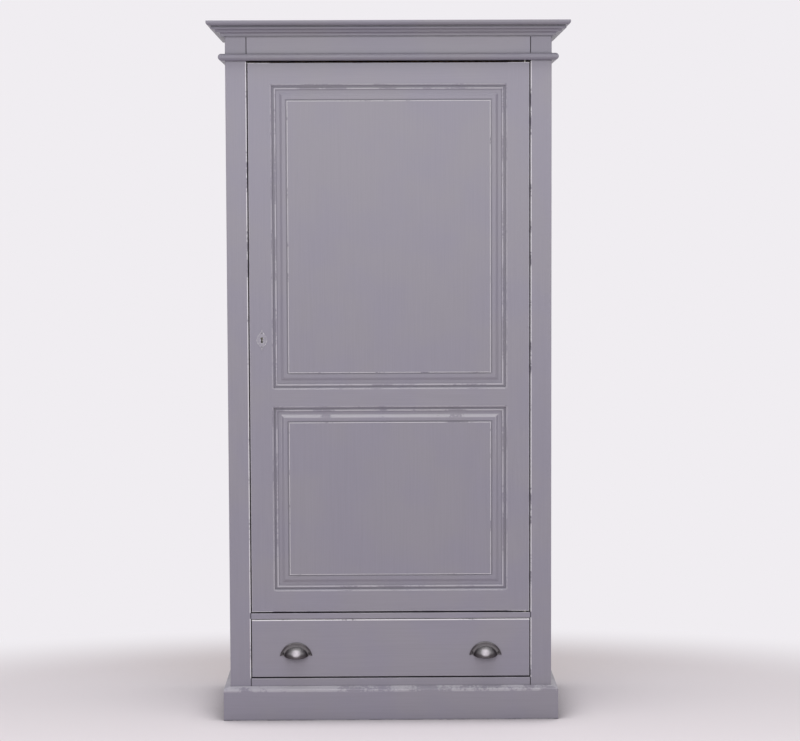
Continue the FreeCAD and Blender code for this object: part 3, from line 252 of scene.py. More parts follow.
def blend_colour(tree, amount, first, second):
    """the first colour where the amount is 0, the second where it is 1"""
    factor, one, other = 0, 6, 7
    return add(tree, "Mix", {factor: amount, one: first, other: second}, data_type="RGBA").outputs[2]


def relief(tree, shader, height, strength, distance):
    """lets light play over a pattern as if it stood out by the distance"""
    bump = add(tree, "Bump", {"Height": height, "Strength": strength, "Distance": distance})
    feed(shader, "Normal", bump.outputs["Normal"])


# %% [markdown]
# ## Where the paint is rubbed
#
# Paint goes first where hands, cloths and the door itself rub: along the edges of openings, on the drawer's
# top edge, on the lips round the panels. It stays whole at glued joints and mitres, which are one surface.
# A zone is a small recipe of nodes that says, for each place on a board, how much it is rubbed: 0 never, 1
# as much as the paint allows. A few recipes also paint light: the crest of a panel's bead and the plinth's
# sloping top are partly rubbed and partly painted lighter, and the slopes that look up low on the door are
# painted lighter only, as painted light from above. The zones use the joinery's own edges, read from the
# boxes of the pieces that make them. Depths behind the face of the frame are written as a pair of limits,
# and the pattern changes softly from one to the other.

# %% Edges that the zones go by
DOOR_LOW, DOOR_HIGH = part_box("door_stile_lock")[0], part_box("door_stile_hinge")[1]
DRAWER_LOW, DRAWER_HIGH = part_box("drawer_front")
OPENING_EDGE = -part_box("front_stile_left")[1].x
CARCASS_EDGE = -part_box("front_stile_left")[0].x
# the depth of the face of the frame
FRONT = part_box("front_stile_left")[0].y
PANEL_EDGE = -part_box("moulding_lower")[0].x
PLINTH_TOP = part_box("plinth_front")[1].z
KEYHOLE = sum(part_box("escutcheon"), Vector()) / 2
GAP = 4 * MM


def halves(tree, place):
    """the three coordinates of a place: how far from the middle, how deep, how high"""
    split = add(tree, "SeparateXYZ", {0: place})
    return step(tree, "ABSOLUTE", split.outputs["X"]), split.outputs["Y"], split.outputs["Z"]


def apart(tree, one, other):
    """how far apart two values are"""
    return step(tree, "ABSOLUTE", step(tree, "SUBTRACT", one, other))


def close_to(tree, value, target, reach):
    """1 where the value is within the reach of the target, and softly 0 beyond twice that"""
    return fading(tree, apart(tree, value, target), reach, 2 * reach)


def inside(tree, value, low, high, soft=2 * MM):
    """1 between low and high, 0 outside"""
    rise = between(tree, value, low, low + soft)
    fall = fading(tree, value, high - soft, high)
    return times(tree, rise, fall)


def behind_face(tree, y, limits, start=0.0, end=1.0):
    """a soft step between two depths behind the front of the frame"""
    return between(tree, y, FRONT + limits[0], FRONT + limits[1], start, end)


def beside_openings(tree, z):
    """1 at the heights where a front stile stands beside the door or the drawer"""
    door = inside(tree, z, DOOR_LOW.z - GAP, DOOR_HIGH.z + GAP)
    drawer = inside(tree, z, DRAWER_LOW.z - GAP, DRAWER_HIGH.z + GAP)
    return most(tree, door, drawer)


print("opening", round(2 * OPENING_EDGE / MM), "mm wide, panels", round(2 * PANEL_EDGE / MM), "mm wide")


# %% Zones of wear
def everywhere(tree, place):
    """1 everywhere: the same wear on every arris, and the same dirt and painted shade beside every neighbour
    """
    return 1.0


def nowhere(tree, place):
    """no place on this piece"""
    return 0.0


def along_openings(tree, place):
    """a front stile: strong where the door and the drawer pass, faint elsewhere, none at the joints"""
    x, _, z = halves(tree, place)
    faint = 0.25
    passed = times(tree, close_to(tree, x, OPENING_EDGE, 2 * MM), beside_openings(tree, z))
    return most(tree, passed, times(tree, close_to(tree, x, CARCASS_EDGE, 3 * MM), faint))


def opening_edge(tree, place):
    """1 on the last millimetres of a front stile's face, beside the door and the drawer"""
    x, y, z = halves(tree, place)
    near = fading(tree, x, OPENING_EDGE + 2.2 * MM, OPENING_EDGE + 3.4 * MM)
    front = behind_face(tree, y, (1.5 * MM, 2.5 * MM), 1.0, 0.0)
    return times(tree, near, front, beside_openings(tree, z))


def joint_lines(tree, place):
    """1 in the fine cracks where the rails meet the front stiles"""
    x, _, z = halves(tree, place)
    crack = 0.7 * MM
    return times(tree, close_to(tree, x, OPENING_EDGE, crack), all_but(tree, beside_openings(tree, z)))


def off_joints(tree, place):
    """the door's frame: worn along its edges, but whole where the rails are glued into the stiles"""
    x, _, z = halves(tree, place)
    panels = [inside(tree, z, low.z, high.z) for low, high in map(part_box, nodes_named("moulding"))]
    between_panels = all_but(tree, most(tree, *panels))
    return all_but(tree, times(tree, close_to(tree, x, PANEL_EDGE, 3 * MM), between_panels))


def off_rail_ends(tree, place):
    """a rail of the front frame: worn along its length, whole at its two ends"""
    x, _, _ = halves(tree, place)
    return fading(tree, x, OPENING_EDGE - 5 * MM, OPENING_EDGE - 3 * MM)


def off_mitres(tree, place):
    """a moulding that wraps the carcass: worn along its edges, but not where two strips meet at a corner"""
    x, y, _ = halves(tree, place)
    across = step(tree, "SUBTRACT", x, CARCASS_EDGE)
    out = step(tree, "SUBTRACT", FRONT, y)
    return between(tree, apart(tree, across, out), 3 * MM, 8 * MM)


def upper_faces(tree, place):
    """a panel or its moulding: only what stands nearly level with the frame is rubbed"""
    _, y, _ = halves(tree, place)
    return behind_face(tree, y, (3.3 * MM, 4.1 * MM), 1.0, 0.0)


def bead_crest(tree, place):
    """1 along the top of the round bead of a panel's moulding, rubbed there and painted lighter as a painted
    highlight
    """
    _, y, _ = halves(tree, place)
    behind_lip = behind_face(tree, y, (5.0 * MM, 5.3 * MM))
    return times(tree, behind_lip, behind_face(tree, y, (5.9 * MM, 6.6 * MM), 1.0, 0.0))


def low_slopes(tree, place):
    """part of 1 on slopes that look up low on the door, painted lighter as painted light from above"""
    split = add(tree, "SeparateXYZ", {0: add(tree, "NewGeometry").outputs["Normal"]})
    _, _, z = halves(tree, place)
    # the share of painted light on the upward slopes, and where it fades out up the door
    painted_light, level, slope, reach, end = 0.35, 0.03, 0.3, 0.95, 1.2
    looks_up = between(tree, split.outputs["Z"], level, slope)
    return times(tree, looks_up, painted_light, fading(tree, z, reach, end))


def plinth_slope(tree, place):
    """part of 1 on the plinth's sloping top, which brooms and shoes touch, and which is also painted lighter
    """
    _, _, z = halves(tree, place)
    # how much the slope is worn and painted lighter as painted light
    touched_and_lit = 0.6
    return times(tree, between(tree, z, PLINTH_TOP - 15 * MM, PLINTH_TOP - 11 * MM), touched_and_lit)


def top_most(tree, place):
    """the drawer's front: rubbed hardest along its top edge, lightly along the others"""
    _, _, z = halves(tree, place)
    light = 0.45
    return between(tree, z, DRAWER_HIGH.z - 8 * MM, DRAWER_HIGH.z - 4 * MM, light, 1.0)


def top_edge(tree, place):
    """1 along the drawer's top edge, where fingers reach over it"""
    _, _, z = halves(tree, place)
    return between(tree, z, DRAWER_HIGH.z - 3.6 * MM, DRAWER_HIGH.z - 2.4 * MM)


# where the door's gaps and keyhole are painted dark: painted shade, with some dirt, while a neighbour is near
def in_gaps(tree, place):
    """the door's outer edges behind its face, and the inside of its keyhole"""
    x, y, z = halves(tree, place)
    side = between(tree, x, DOOR_HIGH.x - 2 * MM, DOOR_HIGH.x - 1 * MM)
    top = between(tree, z, DOOR_HIGH.z - 2 * MM, DOOR_HIGH.z - 1 * MM)
    foot = fading(tree, z, DOOR_LOW.z + 1 * MM, DOOR_LOW.z + 2 * MM)
    hole = times(tree, close_to(tree, x, -KEYHOLE.x, 6 * MM), close_to(tree, z, KEYHOLE.z, 12 * MM))
    return times(tree, most(tree, side, top, foot, hole), behind_face(tree, y, (0.8 * MM, 2 * MM)))

# %% [markdown]
# ## The paint
#
# The real finish is casein furniture paint, brushed on softwood over a pale undercoat, rubbed back with
# fine paper and waxed. It is a flat grey-violet with hardly any pattern, and what makes it look like paint
# is at its edges: each arris is rubbed through to the undercoat, here more, there less. The quirks, and the
# gaps beside neighbouring pieces, are painted darker, partly as dirt and partly as painted shade. An ambient
# occlusion node that looks inwards finds the arrises, and one that looks outwards finds the quirks and
# gaps. Each piece's whole coat is also made a little lighter or darker, as painted light and shade. The
# strokes follow the grain, so each board gets the paint that runs its own way.

# %% Brushed and rubbed paint
PAINT_COOL = "#878390"
PAINT_WARM = "#89858F"
UNDERCOAT = "#DAD7DC"
# the colour of the dirt and painted shade in quirks and gaps
QUIRK_DIRT_AND_SHADE = "#2F2D31"
STROKE_WIDTH = 1.5 * MM
STROKE_LENGTH = 150 * MM
STROKE_RELIEF = 0.06 * MM
CLOUD = 160 * MM
PATCH = 70 * MM
SPECK = 7 * MM
QUIRK_WIDTH = 3.5 * MM
CORNER_WIDTH = 9 * MM
FINE_REACH = 1 * MM
# what the inward occlusion reads at the tip of an arris, and what it reads where the face is flat again
ARRIS = (0.68, 0.96)
# what the outward occlusion reads deep in a quirk, and what it reads in the open
QUIRK = (0.2, 0.85)
# how dark the dirt and painted shade beside neighbouring pieces gets
CORNER_GRIME_AND_SHADE = 0.9
# nearly all values of a noise lie between these
SPREAD = (0.3, 0.7)
STROKE_LIGHT = 0.025
PAINT_ROUGHNESS = (0.36, 0.44)


def rubbed_paint(name, along, share, depth, zone=everywhere, reach=2.2 * MM, ridge=nowhere,
                 grime_and_shade=0.9, beside=everywhere, painted_light_tone=1.0, cracks=nowhere):
    """casein paint brushed along X, Y or Z

    share is how much of an arris's length is rubbed, depth how far through, reach how wide, zone where at
    all, and ridge what is rubbed or painted lighter besides. The next setting is how dark the piece's own
    quirks are painted, as dirt and painted shade, and beside where the same painted shade and dirt lies
    next to its neighbours. cracks is where dirt has filled a joint, and the tone is how much lighter or
    darker the whole coat is painted, as painted light and shade for how light falls on the piece.
    """
    finish, tree, shader, place = new_finish(name)
    edge = fading(tree, openness(tree, reach, inside=True, only_local=True), *ARRIS)
    patches = noise(tree, place, scale=1 / PATCH, detail=3)
    specks = noise(tree, place, scale=1 / SPECK, detail=3, rough=0.7)
    luck = step(tree, "ADD", times(tree, patches, 0.65), times(tree, specks, 0.35))
    whole_below = 0.64 - 0.3 * share
    broken = between(tree, luck, whole_below, whole_below + 0.08)
    proud = most(tree, times(tree, edge, zone(tree, place)), ridge(tree, place))
    worn = times(tree, proud, broken, depth)

    clouds = noise(tree, place, scale=1 / CLOUD, detail=2)
    strokes = noise(tree, stretched(tree, place, along, STROKE_LENGTH, STROKE_WIDTH), detail=3)
    hue = blend_colour(tree, between(tree, clouds, 0.35, 0.65), linear(PAINT_COOL), linear(PAINT_WARM))
    # the coat's lightness: random brush strokes, times the tone of painted light and shade
    light = between(tree, strokes, *SPREAD, (1 - STROKE_LIGHT) * painted_light_tone, (1 + STROKE_LIGHT) * painted_light_tone)
    coat = add(tree, "HueSaturation", {"Color": hue, "Value": light}).outputs["Color"]

    # dirt and painted shade: darker deep in the piece's own quirks, and beside its neighbours where told
    own = between(tree, openness(tree, QUIRK_WIDTH, only_local=True), *QUIRK, grime_and_shade, 0.0)
    near_others = between(tree, openness(tree, CORNER_WIDTH), *QUIRK, CORNER_GRIME_AND_SHADE, 0.0)
    shared = times(tree, near_others, beside(tree, place))
    dirt_and_shade = step(tree, "MAXIMUM", most(tree, own, shared), cracks(tree, place), clamp=True)
    dirty_and_shaded = blend_colour(tree, dirt_and_shade, coat, linear(QUIRK_DIRT_AND_SHADE))
    feed(shader, "Base Color", blend_colour(tree, worn, dirty_and_shaded, linear(UNDERCOAT)))
    feed(shader, "Roughness", between(tree, strokes, *SPREAD, *PAINT_ROUGHNESS))
    relief(tree, shader, strokes, 0.35, STROKE_RELIEF)
    return finish


# tones other than 1 are painted light and shade: frieze and drawer lighter, crown and panels darker
PAINT_STILE = rubbed_paint("casein_paint_on_front_stiles", "Z", 0.75, 0.85, along_openings,
                           ridge=opening_edge, cracks=joint_lines)
PAINT_FRIEZE = rubbed_paint("casein_paint_on_frieze", "X", 0.6, 0.45, off_rail_ends,
                            cracks=joint_lines, painted_light_tone=1.08)
PAINT_RAIL = rubbed_paint("casein_paint_on_front_rails", "X", 0.6, 0.45, off_rail_ends, cracks=joint_lines)
PAINT_SIDE = rubbed_paint("casein_paint_on_sides", "Z", 0.3, 0.3)
PAINT_DOOR_UPRIGHT = rubbed_paint("casein_paint_on_door_stiles", "Z", 0.8, 0.8, off_joints, beside=in_gaps)
PAINT_DOOR_LEVEL = rubbed_paint("casein_paint_on_door_rails", "X", 0.8, 0.75, off_joints, beside=in_gaps)
PAINT_PANEL = rubbed_paint("casein_paint_on_panels", "Z", 0.9, 0.9, upper_faces,
                           ridge=low_slopes, grime_and_shade=0.45, beside=nowhere, painted_light_tone=0.975)
PAINT_BEADING = rubbed_paint("casein_paint_on_beading", "X", 0.7, 0.3, upper_faces, FINE_REACH,
                             ridge=bead_crest, grime_and_shade=1.0, beside=nowhere)
PAINT_CROWN = rubbed_paint("casein_paint_on_crown", "X", 0.35, 0.25, off_mitres, FINE_REACH,
                           beside=nowhere, painted_light_tone=0.85)
PAINT_CROWN_DEEP = rubbed_paint("casein_paint_on_crown_sides", "Y", 0.35, 0.25, off_mitres, FINE_REACH,
                                beside=nowhere, painted_light_tone=0.85)
PAINT_PLINTH = rubbed_paint("casein_paint_on_plinth", "X", 0.65, 0.5, off_mitres, ridge=plinth_slope)
PAINT_PLINTH_DEEP = rubbed_paint("casein_paint_on_plinth_sides", "Y", 0.4, 0.3, off_mitres,
                                 ridge=plinth_slope)
PAINT_DRAWER = rubbed_paint("casein_paint_worn_by_hands", "X", 0.95, 0.95, top_most,
                            ridge=top_edge, painted_light_tone=1.02)
print("paints:", [finish.name for finish in bpy.data.materials if finish.name.startswith("casein")])

# %% [markdown]
# ## The bare pine inside
#
# Shelves, back boards, drawer sides and the backs of the boards were planed and waxed but never painted.
# Planed pine shows bands of pale spring growth and browner autumn growth about ten millimetres apart,
# stretched to half a metre along the board, fine fibres, and now and then a knot. Its narrow corners, and
# the gaps seen behind the door, are painted nearly black, partly as dust and partly as painted shade.

# %% Waxed pine
SPRING_WOOD = "#D6B688"
AUTUMN_WOOD = "#B58A57"
KNOT = "#70451F"
# the colour of the dust and painted shade in narrow corners
CORNER_DUST_AND_SHADE = "#1F1A16"
DRIFT = 400 * MM
RING_LENGTH, RING_WIDTH = 600 * MM, 11 * MM
FIBRE_LENGTH, FIBRE_WIDTH = 60 * MM, 0.8 * MM
FIBRE_RELIEF = 0.08 * MM
FIBRE_LIGHT = (0.93, 1.05)
KNOT_SPACING, KNOT_ASIDE = 420 * MM, 230 * MM
# where a knot ends, as shares of the spacing, and how dark it is
KNOT_RIM, KNOT_DARK = (0.035, 0.06), 0.85
DUST_AND_SHADE_WIDTH = 25 * MM


def waxed_pine(name, along):
    """planed and waxed pine with its grain along X, Y or Z"""
    finish, tree, shader, place = new_finish(name)
    drift = noise(tree, place, scale=1 / DRIFT, detail=1)
    rings = noise(tree, stretched(tree, place, along, RING_LENGTH, RING_WIDTH), detail=3, rough=0.55)
    bands = between(tree, step(tree, "ADD", rings, times(tree, drift, 0.3)), 0.5, 0.85)
    wood = blend_colour(tree, bands, linear(SPRING_WOOD), linear(AUTUMN_WOOD))
    fibres = noise(tree, stretched(tree, place, along, FIBRE_LENGTH, FIBRE_WIDTH), detail=2)
    light = between(tree, fibres, *SPREAD, *FIBRE_LIGHT)
    streaked = add(tree, "HueSaturation", {"Color": wood, "Value": light}).outputs["Color"]
    spread = stretched(tree, place, along, KNOT_SPACING, KNOT_ASIDE)
    spots = add(tree, "TexVoronoi", {"Vector": spread, "Scale": 1.0}).outputs["Distance"]
    knotted = blend_colour(tree, between(tree, spots, *KNOT_RIM, KNOT_DARK, 0.0), streaked, linear(KNOT))
    # dust and painted shade, deepest in narrow corners
    dust_and_shade = fading(tree, openness(tree, DUST_AND_SHADE_WIDTH, samples=6), 0.1, 0.7)
    feed(shader, "Base Color", blend_colour(tree, dust_and_shade, knotted, linear(CORNER_DUST_AND_SHADE)))
    shader.inputs["Roughness"].default_value = 0.55
    relief(tree, shader, fibres, 0.4, FIBRE_RELIEF)
    return finish


PINE_UPRIGHT = waxed_pine("waxed_pine_upright", "Z")
PINE_LEVEL = waxed_pine("waxed_pine_level", "X")
PINE_DEEP = waxed_pine("waxed_pine_front_to_back", "Y")
print("woods:", PINE_UPRIGHT.name, PINE_LEVEL.name, PINE_DEEP.name)

# %% [markdown]
# ## The metals
#
# The pulls are cast zinc with an antiqued pewter finish: blackened in a bath, then wiped, so that recesses
# stay nearly black. The sides are coloured nearly black and the crown a middling grey, partly as that patina
# and partly as painted reflection, and the low middle, which fingers hook behind, is wiped and also painted
# bright as a painted highlight. Lock, pivots and screws are plain rolled steel. The escutcheon is a thin
# pressed plate, painted over with the door, that shows metal only where its edge is rubbed.

# %% Antiqued pewter, steel, painted plate
# the pewter's colours: its grey crown is partly painted reflection, its wiped colour partly a painted
# highlight
PEWTER_DARK = "#4C474A"
PEWTER_CROWN = "#7B797A"
PEWTER_WIPED_HIGHLIGHT = "#A5A0A5"
PEWTER_PLATE = "#7E7B7D"
STEEL_DULL = "#2E2C2A"
STEEL_BRIGHT = "#9A968E"
PLATE_RUBBED = "#E4E2E1"
CASTING_RELIEF = 0.12 * MM
PULL_LOW, PULL_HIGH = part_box("cup_pull_right")
PULL_MIDDLE = (PULL_LOW.x + PULL_HIGH.x) / 2
PULL_RISE = 36 * MM
PULL_FOOT = PULL_HIGH.z - PULL_RISE
# the crown of the cup, lighter than its sides as patina and as painted reflection,
# ends between these distances from the pull's middle
CROWN_ENDS = (14 * MM, 31 * MM)
# the size of the wiped spot, which is also a painted highlight
WIPED_HIGHLIGHT_WIDTH = 13 * MM
WIPED_HIGHLIGHT_HEIGHT = 9 * MM


def metal(name, dark, bright, rough, lit, grain):
    """a metal that is bright where the lit recipe says, blotched over a few millimetres"""
    finish, tree, shader, place = new_finish(name)
    shader.inputs["Metallic"].default_value = 1.0
    blotches = noise(tree, place, scale=1 / grain, detail=4, rough=0.6)
    uneven = between(tree, blotches, *SPREAD, 0.7, 1.2)
    shine = step(tree, "MULTIPLY", lit(tree, place), uneven, clamp=True)
    feed(shader, "Base Color", blend_colour(tree, shine, linear(dark), linear(bright)))
    feed(shader, "Roughness", between(tree, blotches, *SPREAD, rough - 0.05, rough + 0.07))
    relief(tree, shader, blotches, 0.3, CASTING_RELIEF)
    return finish, tree, shader, place


def open_places(tree, place):
    """1 in the open, 0 in recesses"""
    return between(tree, openness(tree, 5 * MM), 0.3, 0.8)


def crown_of_cup(tree, place):
    """1 on the crown of a pull, lighter as patina and painted reflection; 0 at its sides, its lip and
    recesses
    """
    x, _, z = halves(tree, place)
    across = fading(tree, apart(tree, x, PULL_MIDDLE), *CROWN_ENDS)
    up = between(tree, z, PULL_FOOT + 2 * MM, PULL_FOOT + 9 * MM)
    return times(tree, across, up, open_places(tree, place))


def pewter(name):
    """blackened and wiped pewter: dark sides, a grey crown that is partly painted reflection, and a bright
    spot where fingers wipe it, which is also a painted highlight
    """
    finish, tree, shader, place = metal(name, PEWTER_DARK, PEWTER_CROWN, 0.46, crown_of_cup, 6 * MM)
    body = shader.inputs["Base Color"].links[0].from_socket
    x, y, z = halves(tree, place)
    # a painted highlight low in the middle of the cup, where fingers also wipe it
    across = step(tree, "DIVIDE", step(tree, "SUBTRACT", x, PULL_MIDDLE), WIPED_HIGHLIGHT_WIDTH)
    up = step(tree, "DIVIDE", step(tree, "SUBTRACT", z, PULL_FOOT + WIPED_HIGHLIGHT_HEIGHT), WIPED_HIGHLIGHT_HEIGHT)
    span = step(tree, "ADD", times(tree, across, across), times(tree, up, up))
    painted_light = between(tree, span, 0.0, 1.5, 0.85, 0.0)
    shining = blend_colour(tree, painted_light, body, linear(PEWTER_WIPED_HIGHLIGHT))
    on_plate = behind_face(tree, y, (-2.6 * MM, -2.2 * MM))
    rubbed_plate = times(tree, on_plate, open_places(tree, place))
    colour = blend_colour(tree, rubbed_plate, shining, linear(PEWTER_PLATE))
    feed(shader, "Base Color", colour)
    return finish


def painted_plate(name):
    """a pressed steel plate, painted over with the door and rubbed to the metal along its edges"""
    finish, tree, shader, place = new_finish(name)
    edge = between(tree, openness(tree, 1.2 * MM, inside=True, only_local=True), *ARRIS, 1.0, 0.15)
    specks = noise(tree, place, scale=1 / (4 * MM), detail=3, rough=0.6)
    rubbed = times(tree, edge, between(tree, specks, 0.45, 0.6, 0.2, 1.0))
    colour = blend_colour(tree, rubbed, linear(PAINT_COOL), linear(PLATE_RUBBED))
    feed(shader, "Base Color", colour)
    feed(shader, "Metallic", times(tree, rubbed, 0.6))
    shader.inputs["Roughness"].default_value = 0.34
    return finish


PEWTER = pewter("antiqued_pewter_cast")
PIN_METAL = metal("blackened_pin", PEWTER_DARK, PEWTER_CROWN, 0.4, open_places, 3 * MM)[0]
STEEL = metal("rolled_steel", STEEL_DULL, STEEL_BRIGHT, 0.38, open_places, 7 * MM)[0]
PLATE = painted_plate("painted_over_plate")
print("metals:", PEWTER.name, PIN_METAL.name, STEEL.name, PLATE.name)

# %% [markdown]
# ## Softening the wood
#
# A joiner takes every arris off with a pass of paper, and light catches that narrow round. The solids have
# sharp corners, so a piece is copied, its loose triangles are merged and its flat faces joined again, and a
# narrow bevel is run along every sharp edge. Where two pieces are glued flush, as at a mitre or where a
# rail meets a stile of the door, paper runs over both at once, so those edges stay sharp and the joint
# hardly shows. A bevel weight on each edge says which is which. Weighted normals keep the flat faces flat.
# The copy rides on the same body and stands in for the solid.

# %% Softened copies
SHARP = math.radians(28)
SMOOTH = math.radians(40)
FLAT = math.radians(0.5)
SAME_PLACE = 0.01 * MM
FLUSH = 0.6 * MM


def merged_copy(node):
    """a piece of its own with the node's mesh, its triangles merged to whole faces"""
    piece = bpy.data.objects.new(node + "_finished", frame["nodes"][node].data.copy())
    bpy.context.collection.objects.link(piece)
    piece.data.materials.clear()
    choose(piece)
    bpy.ops.mesh.customdata_custom_splitnormals_clear()
    to_mode("EDIT")
    bpy.ops.mesh.select_all(action="SELECT")
    bpy.ops.mesh.remove_doubles(threshold=SAME_PLACE)
    bpy.ops.mesh.dissolve_limited(angle_limit=FLAT)
    to_mode("OBJECT")
    return piece


def dress(piece, node, finish):
    """gives the piece its finish, hangs it on the node's body where it stands, and hides the node"""
    piece.data.materials.append(finish)
    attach(piece, CARRIER[node])
    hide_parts(node)
    return piece


def at_mitre(spot):
    """on the mitre of a moulding that wraps the carcass"""
    return abs(abs(spot.x) - CARCASS_EDGE - (FRONT - spot.y)) < FLUSH


def at_door_joint(spot):
    """on the front of the door, where a rail meets a stile"""
    return abs(abs(spot.x) - PANEL_EDGE) < FLUSH and spot.y < FRONT + FLUSH


def at_beading_mitre(spot):
    """on a mitre of the mouldings round a panel"""
    corners = [box.z for node in ("moulding_lower", "moulding_upper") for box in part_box(node)]
    aside = PANEL_EDGE - abs(spot.x)
    return min(abs(abs(spot.z - height) - aside) for height in corners) < FLUSH


def soften(piece, width, glued=lambda spot: False):
    """rounds every sharp edge that isn't part of a flush joint, and shades the piece"""
    weights = piece.data.attributes.new("bevel_weight_edge", "FLOAT", "EDGE")
    shape = bmesh.new()
    shape.from_mesh(piece.data)
    sharp = [edge.is_manifold and edge.calc_face_angle() > SHARP for edge in shape.edges]
    chosen = [crease and not glued(middle(edge)) for crease, edge in zip(sharp, shape.edges)]
    shape.free()
    weights.data.foreach_set("value", [float(rounded) for rounded in chosen])
    work(piece, "BEVEL", width=width, segments=2, limit_method="WEIGHT",
         use_clamp_overlap=True, offset_type="OFFSET")
    choose(piece)
    bpy.ops.object.shade_smooth_by_angle(angle=SMOOTH)
    work(piece, "WEIGHTED_NORMAL", keep_sharp=True, weight=80)


def softened(node, finish, slot, *width_and_joint):
    """the node's piece with its arrises taken off"""
    piece = merged_copy(node)
    soften(piece, *width_and_joint)
    return dress(piece, node, finish)


# %% [markdown]
# ## The painted front
#
# Boards are painted the way their grain runs, and each gets the paint that is worn as that piece is. The
# edges of moulded strips are crisper than those of boards, so their bevel is narrower.

# %% Painted boards and outer mouldings
BOARD_ARRIS = 0.9 * MM
MOULDING_ARRIS = 0.3 * MM
WOOD = "painted_softwood"
CROWN_SIDES = ("cornice_left", "cornice_right", "astragal_left", "astragal_right")
PAINTED_BOARDS = [
    (("front_stile",), PAINT_STILE, BOARD_ARRIS),
    (("frieze_rail",), PAINT_FRIEZE, BOARD_ARRIS),
    (("middle_rail", "bottom_rail"), PAINT_RAIL, BOARD_ARRIS),
    (("door_stile",), PAINT_DOOR_UPRIGHT, BOARD_ARRIS, at_door_joint),
    (("door_rail",), PAINT_DOOR_LEVEL, BOARD_ARRIS, at_door_joint),
    (("cornice_front", "astragal_front"), PAINT_CROWN, MOULDING_ARRIS, at_mitre),
    (CROWN_SIDES, PAINT_CROWN_DEEP, MOULDING_ARRIS, at_mitre),
    (("plinth_front",), PAINT_PLINTH, BOARD_ARRIS, at_mitre),
    (("plinth_left", "plinth_right"), PAINT_PLINTH_DEEP, BOARD_ARRIS, at_mitre),
    (("top_board",), PAINT_CROWN_DEEP, BOARD_ARRIS),
    (("drawer_front",), PAINT_DRAWER, BOARD_ARRIS),
]
painted = [softened(node, finish, WOOD, *arris_and_joint)
           for starts, finish, *arris_and_joint in PAINTED_BOARDS for node in nodes_named(*starts)]
print("painted pieces:", len(painted))

# %% [markdown]
# ## The door's panels
#
# A raised and fielded panel is a board whose four margins are worked down with moulding planes, so that its
# middle, the field, stands proud. Round it four strips with a lip and a round bead are planted, mitred at
# the corners. Both are made from a block, whose front face is worked from the rim inwards: an inset makes
# each sloping step, an extrusion each upright one, on all four sides at once. So the mitres come out clean
# by themselves. A profile is a list of points: how far in from the opening's edge, and how deep behind the
# frame's face, in millimetres. The bead is an arc of a circle, the ogee half a wave.

# %% Profiles, in millimetres
def arc(centre_run, centre_depth, radius, start, stop, count):
    """points of an arc, from one angle to another in degrees, where 90 is its nearest to the viewer"""
    angles = [math.radians(start + (stop - start) * k / count) for k in range(count + 1)]
    return [(centre_run - radius * math.cos(a), centre_depth - radius * math.sin(a)) for a in angles]


def ogee(run, width, low, high, count):
    """points of the double curve that climbs from the panel's margin to its crest"""
    shares = [k / count for k in range(count + 1)]
    return [(run + width * u, low - (low - high) * (1 - math.cos(math.pi * u)) / 2) for u in shares]


TONGUE = 8
TONGUE_DEPTH = 13
MARGIN_DEPTH = 9.5
OGEE_START, OGEE_WIDTH = 20, 11.5
CREST_DEPTH = 5
FIELD_QUIRK, FIELD_EDGE = 39, 43
FIELD_QUIRK_DEPTH = 7
FIELD_DEPTH = 3
PANEL = [
    (-TONGUE, TONGUE_DEPTH),
    (0, TONGUE_DEPTH),
    (0, MARGIN_DEPTH),
    *ogee(OGEE_START, OGEE_WIDTH, MARGIN_DEPTH, CREST_DEPTH, 8),
    (FIELD_QUIRK, CREST_DEPTH),
    (FIELD_QUIRK, FIELD_QUIRK_DEPTH),
    (FIELD_EDGE, FIELD_QUIRK_DEPTH),
    (FIELD_EDGE, FIELD_DEPTH),
]
LIP = 3
LIP_BOTTOM = 4.2
QUIRK_END = 6.5
QUIRK_DEPTH = 8.2
BEAD_MIDDLE, BEAD_DEPTH, BEAD_ROUND = 10, 9.2, 3.6
BEADING_WIDTH = 13.7
BEADING = [
    *arc(0, LIP_BOTTOM, LIP, 90, 180, 6),
    (LIP, QUIRK_DEPTH),
    (QUIRK_END, QUIRK_DEPTH),
    *arc(BEAD_MIDDLE, BEAD_DEPTH, BEAD_ROUND, 16, 170, 9),
    (BEADING_WIDTH, MARGIN_DEPTH),
]
print("panel profile:", len(PANEL), "points; beading profile:", len(BEADING), "points")


# %% Two panels and their beadings
def block(name, low, high):
    """a plain block between two corners, in edit mode, its front face selected"""
    bpy.ops.mesh.primitive_cube_add(size=1, location=(low + high) / 2, scale=high - low)
    piece = fresh()
    piece.name = name
    to_mode("EDIT")
    pick(piece, "FACE", looks_forward)
    return piece


def work_in(profile):
    """works the profile into the selected face, from its rim inwards"""
    for (run, depth), (next_run, next_depth) in zip(profile, profile[1:]):
        if next_run > run:
            bpy.ops.mesh.inset(thickness=(next_run - run) * MM, depth=(depth - next_depth) * MM)
        else:
            push(y=(next_depth - depth) * MM)


def on_margin(face):
    """a test for faces level with the panel's margin, which the beading is planted on"""
    return abs(face.calc_center_median().y - FRONT - MARGIN_DEPTH * MM) < SAME_PLACE


for node in nodes_named("panel"):
    low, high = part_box(node)
    low.y = FRONT + TONGUE_DEPTH * MM
    board = block(node + "_finished", low, high)
    work_in(PANEL)
    to_mode("OBJECT")
    soften(board, MOULDING_ARRIS)
    dress(board, node, PAINT_PANEL)
    print(node, "has", len(board.data.polygons), "faces")

